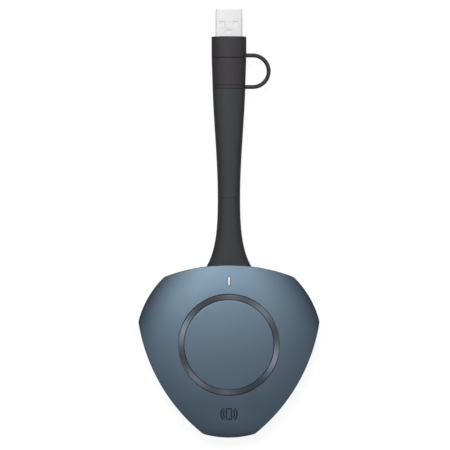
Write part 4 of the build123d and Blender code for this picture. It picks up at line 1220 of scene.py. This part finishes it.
pipe_stations = light_loops((*PIPE, PIPE_LOW), (*PIPE, light_top - 0.22))
pipe_stations += light_loops((0.9, 3.7, light_top - 0.10), (0.6, 3.4, light_top - 0.05))
pipe = bmesh.new()
sweep_loops(pipe, PIPE_SEGMENTS, pipe_stations, "capped")
add_box(pipe, FOOT_SIZE, (0, LIGHT_Y, FOOT_Z))
light_window = keep_piece(pipe, "light_window", glowing("light_glow"))

# the liner is painted shade in the gap round the pipe
liner_low = light_top - 0.58
liner_stations = light_loops((*LINER_IN, liner_low), (*LINER_IN, light_top - 0.14))
liner_stations += light_loops((*LINER_OUT, light_top - 0.10), (*LINER_OUT, liner_low))
painted_shade_liner = swept_piece("painted_shade_liner", PIPE_SEGMENTS, liner_stations, "joined", LINER_SHADE)

# %% [markdown]
# The mark shows where a phone is held. It is a plain pictogram drawn for this part: the outline
# of a phone with two ripples on each side. It is a thin layer of ink that follows the dome, so
# it is modelled flat, and each of its points is then lifted onto the face.

# %% Tap mark
MARK_Y = -30.9
PHONE_W, PHONE_L, PHONE_ROUND = 2.80, 5.3, 0.60
INK_LINE, RIPPLE_LINE, INK_UP, INK_DOWN = 0.54, 0.64, 0.03, -0.05
RIPPLES = ((2.45, 1.8, 34.0), (3.6, 2.6, 42.0))  # reach, half height, half turn in degrees
RIPPLE_STEPS = 15
PHONE_SEGMENTS, RIPPLE_SEGMENTS = 160, 12


def rounded_box(turn, half_w, half_l, corner):
    """A point on a rounded rectangle, by its turn."""
    c, s = math.cos(turn), math.sin(turn)
    flat = half_w - corner, half_l - corner
    reach = min(half_w / max(abs(c), 1e-9), half_l / max(abs(s), 1e-9))
    x, y = reach * c, reach * s
    if abs(x) > flat[0] and abs(y) > flat[1]:
        ox, oy = math.copysign(flat[0], x), math.copysign(flat[1], y)
        along = math.atan2(y - oy, x - ox)
        x, y = ox + corner * math.cos(along), oy + corner * math.sin(along)
    return x, y


def phone_loop(grow, lift):
    """A loop of the phone's outline."""
    def place(turn):
        x, y = rounded_box(turn, PHONE_W / 2 + grow, PHONE_L / 2 + grow, PHONE_ROUND + grow)
        return point(x, MARK_Y + y, lift)
    return place


def ripple_loop(side, centre_x, radius, degrees):
    """A loop round the ink of a ripple, at a turn along its arc."""
    along = math.radians(degrees)

    def place(turn):
        out = radius + RIPPLE_LINE / 2 * math.cos(turn)
        lift = (INK_UP + INK_DOWN) / 2 + (INK_UP - INK_DOWN) / 2 * math.sin(turn)
        x = side * (centre_x + out * math.cos(along))
        return point(x, MARK_Y + out * math.sin(along), lift)
    return place


mark = bmesh.new()
phone_stations = [phone_loop(0, INK_DOWN), phone_loop(0, INK_UP)]
phone_stations += [phone_loop(-INK_LINE, INK_UP), phone_loop(-INK_LINE, INK_DOWN)]
sweep_loops(mark, PHONE_SEGMENTS, phone_stations, "joined")
for side in (1, -1):
    for reach, half_height, half_turn in RIPPLES:
        radius = half_height / math.sin(math.radians(half_turn))
        turns = spaced(-half_turn, half_turn, RIPPLE_STEPS)
        stations = [ripple_loop(side, reach - radius, radius, a) for a in turns]
        sweep_loops(mark, RIPPLE_SEGMENTS, stations, "capped")
for vert in mark.verts:
    vert.co.z += pillow(*radius_and_turn(vert.co)) * MM
tap_mark = keep_piece(mark, "tap_mark", MARK_INK)

# %% [markdown]
# The dark soft-touch pieces get painted shade on their sides, darker than on top. Each of their
# vertices carries how far it faces sideways, and their finish paints that much shade.

# %% Painted shade on the sides of the dark pieces
for piece in (neck_lower, neck_upper, collar_band, grip_body, adapter_body, tether_strand):
    sides = piece.data.attributes.new(SIDE_SHADE, "FLOAT", "POINT")
    # painted shade grows as a vertex faces sideways
    for vert, share in zip(piece.data.vertices, sides.data):
        share.value = 1 - abs(vert.normal.z)
    print(piece.name, "has", len(sides.data), "side depths")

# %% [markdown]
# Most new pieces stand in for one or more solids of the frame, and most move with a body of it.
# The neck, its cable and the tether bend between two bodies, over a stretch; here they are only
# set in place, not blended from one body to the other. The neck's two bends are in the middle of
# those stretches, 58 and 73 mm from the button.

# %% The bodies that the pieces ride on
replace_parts(puck_top, "top_cover")
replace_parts(puck_base, "bottom_cover")
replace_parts(foot_sheet, "foot_pad")
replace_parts(button_top, "button_cap")
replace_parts(ring_trim, "trim_ring")
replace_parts(light_window, "light_pipe")
for piece in (puck_top, puck_base, foot_sheet, ring_trim, light_window, painted_shade_liner, tap_mark):
    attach(piece, "puck")
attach(button_top, "button")

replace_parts(neck_lower, "neck_root", "neck_flex_lower", "neck_middle")
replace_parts(neck_upper, "neck_flex_upper", "neck_tip")
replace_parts(cable_lower, "inner_cable")

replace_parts(collar_band, "tether_collar")
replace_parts(grip_body, "plug_grip")
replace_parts(adapter_body, "adapter_housing")
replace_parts(usb_a_sleeve, "usb_a_shell")
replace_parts(tether_strand, "tether_loop")
for piece in (collar_band, grip_body):
    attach(piece, "plug")
for piece in (adapter_body, usb_a_sleeve):
    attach(piece, "adapter")


for piece in (neck_lower, cable_lower):
    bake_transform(piece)
for piece in (neck_upper, cable_upper):
    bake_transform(piece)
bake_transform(tether_strand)

replaced = {name for piece in bpy.data.objects for name in piece.get("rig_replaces", [])}
print(len(replaced), "nodes of the frame are replaced")

# %% [markdown]
# The CAD nodes that stay are the ones inside, and the small metal and plastic parts of the
# plugs. Their shapes are right as they are, so each only gets its finish.

# %% Finishes for the CAD nodes
NODE_FINISHES = (
    (SCREW_STEEL, "cover_screws", "clamp_screws"),
    (INNER_PLASTIC, "button_guide", "cable_clamp"),
    (SWITCH_PLASTIC, "tact_switch"),
    (PLUNGER_PLASTIC, "switch_plunger"),
    (LAMINATE, "main_board", "radio_board", "light_board", "plug_board", "adapter_board"),
    (CAN_STEEL, "shield_can", "antenna_sockets", "cable_ferrule", "socket_shell"),
    (CHIP_PLASTIC, "processor_chip", "memory_chip", "power_inductor"),
    (CERAMIC, "board_capacitors"),
    (LED_WHITE, "status_led"),
    (FILM_COPPER, "tap_antenna", "antenna_right", "antenna_left"),
    (LEAD_JACKET, "antenna_lead_right", "antenna_lead_left"),
    (CONNECTOR_PLASTIC, "board_connector", "cable_plug"),
    (PLUG_STEEL, "usb_c_shell"),
    (INSERT_PLASTIC, "usb_c_insert", "socket_tongue"),
    (CONTACT_GOLD, "usb_c_contacts", "usb_a_contacts"),
    (INSULATOR, "usb_a_insulator"),
)
bare = set(frame["nodes"]) - replaced
for material, *names in NODE_FINISHES:
    for name in names:
        slots = frame["nodes"][name].data.materials
        slots.clear()
        slots.append(material)
    bare -= set(names)
print("nodes without a finish:", sorted(bare))
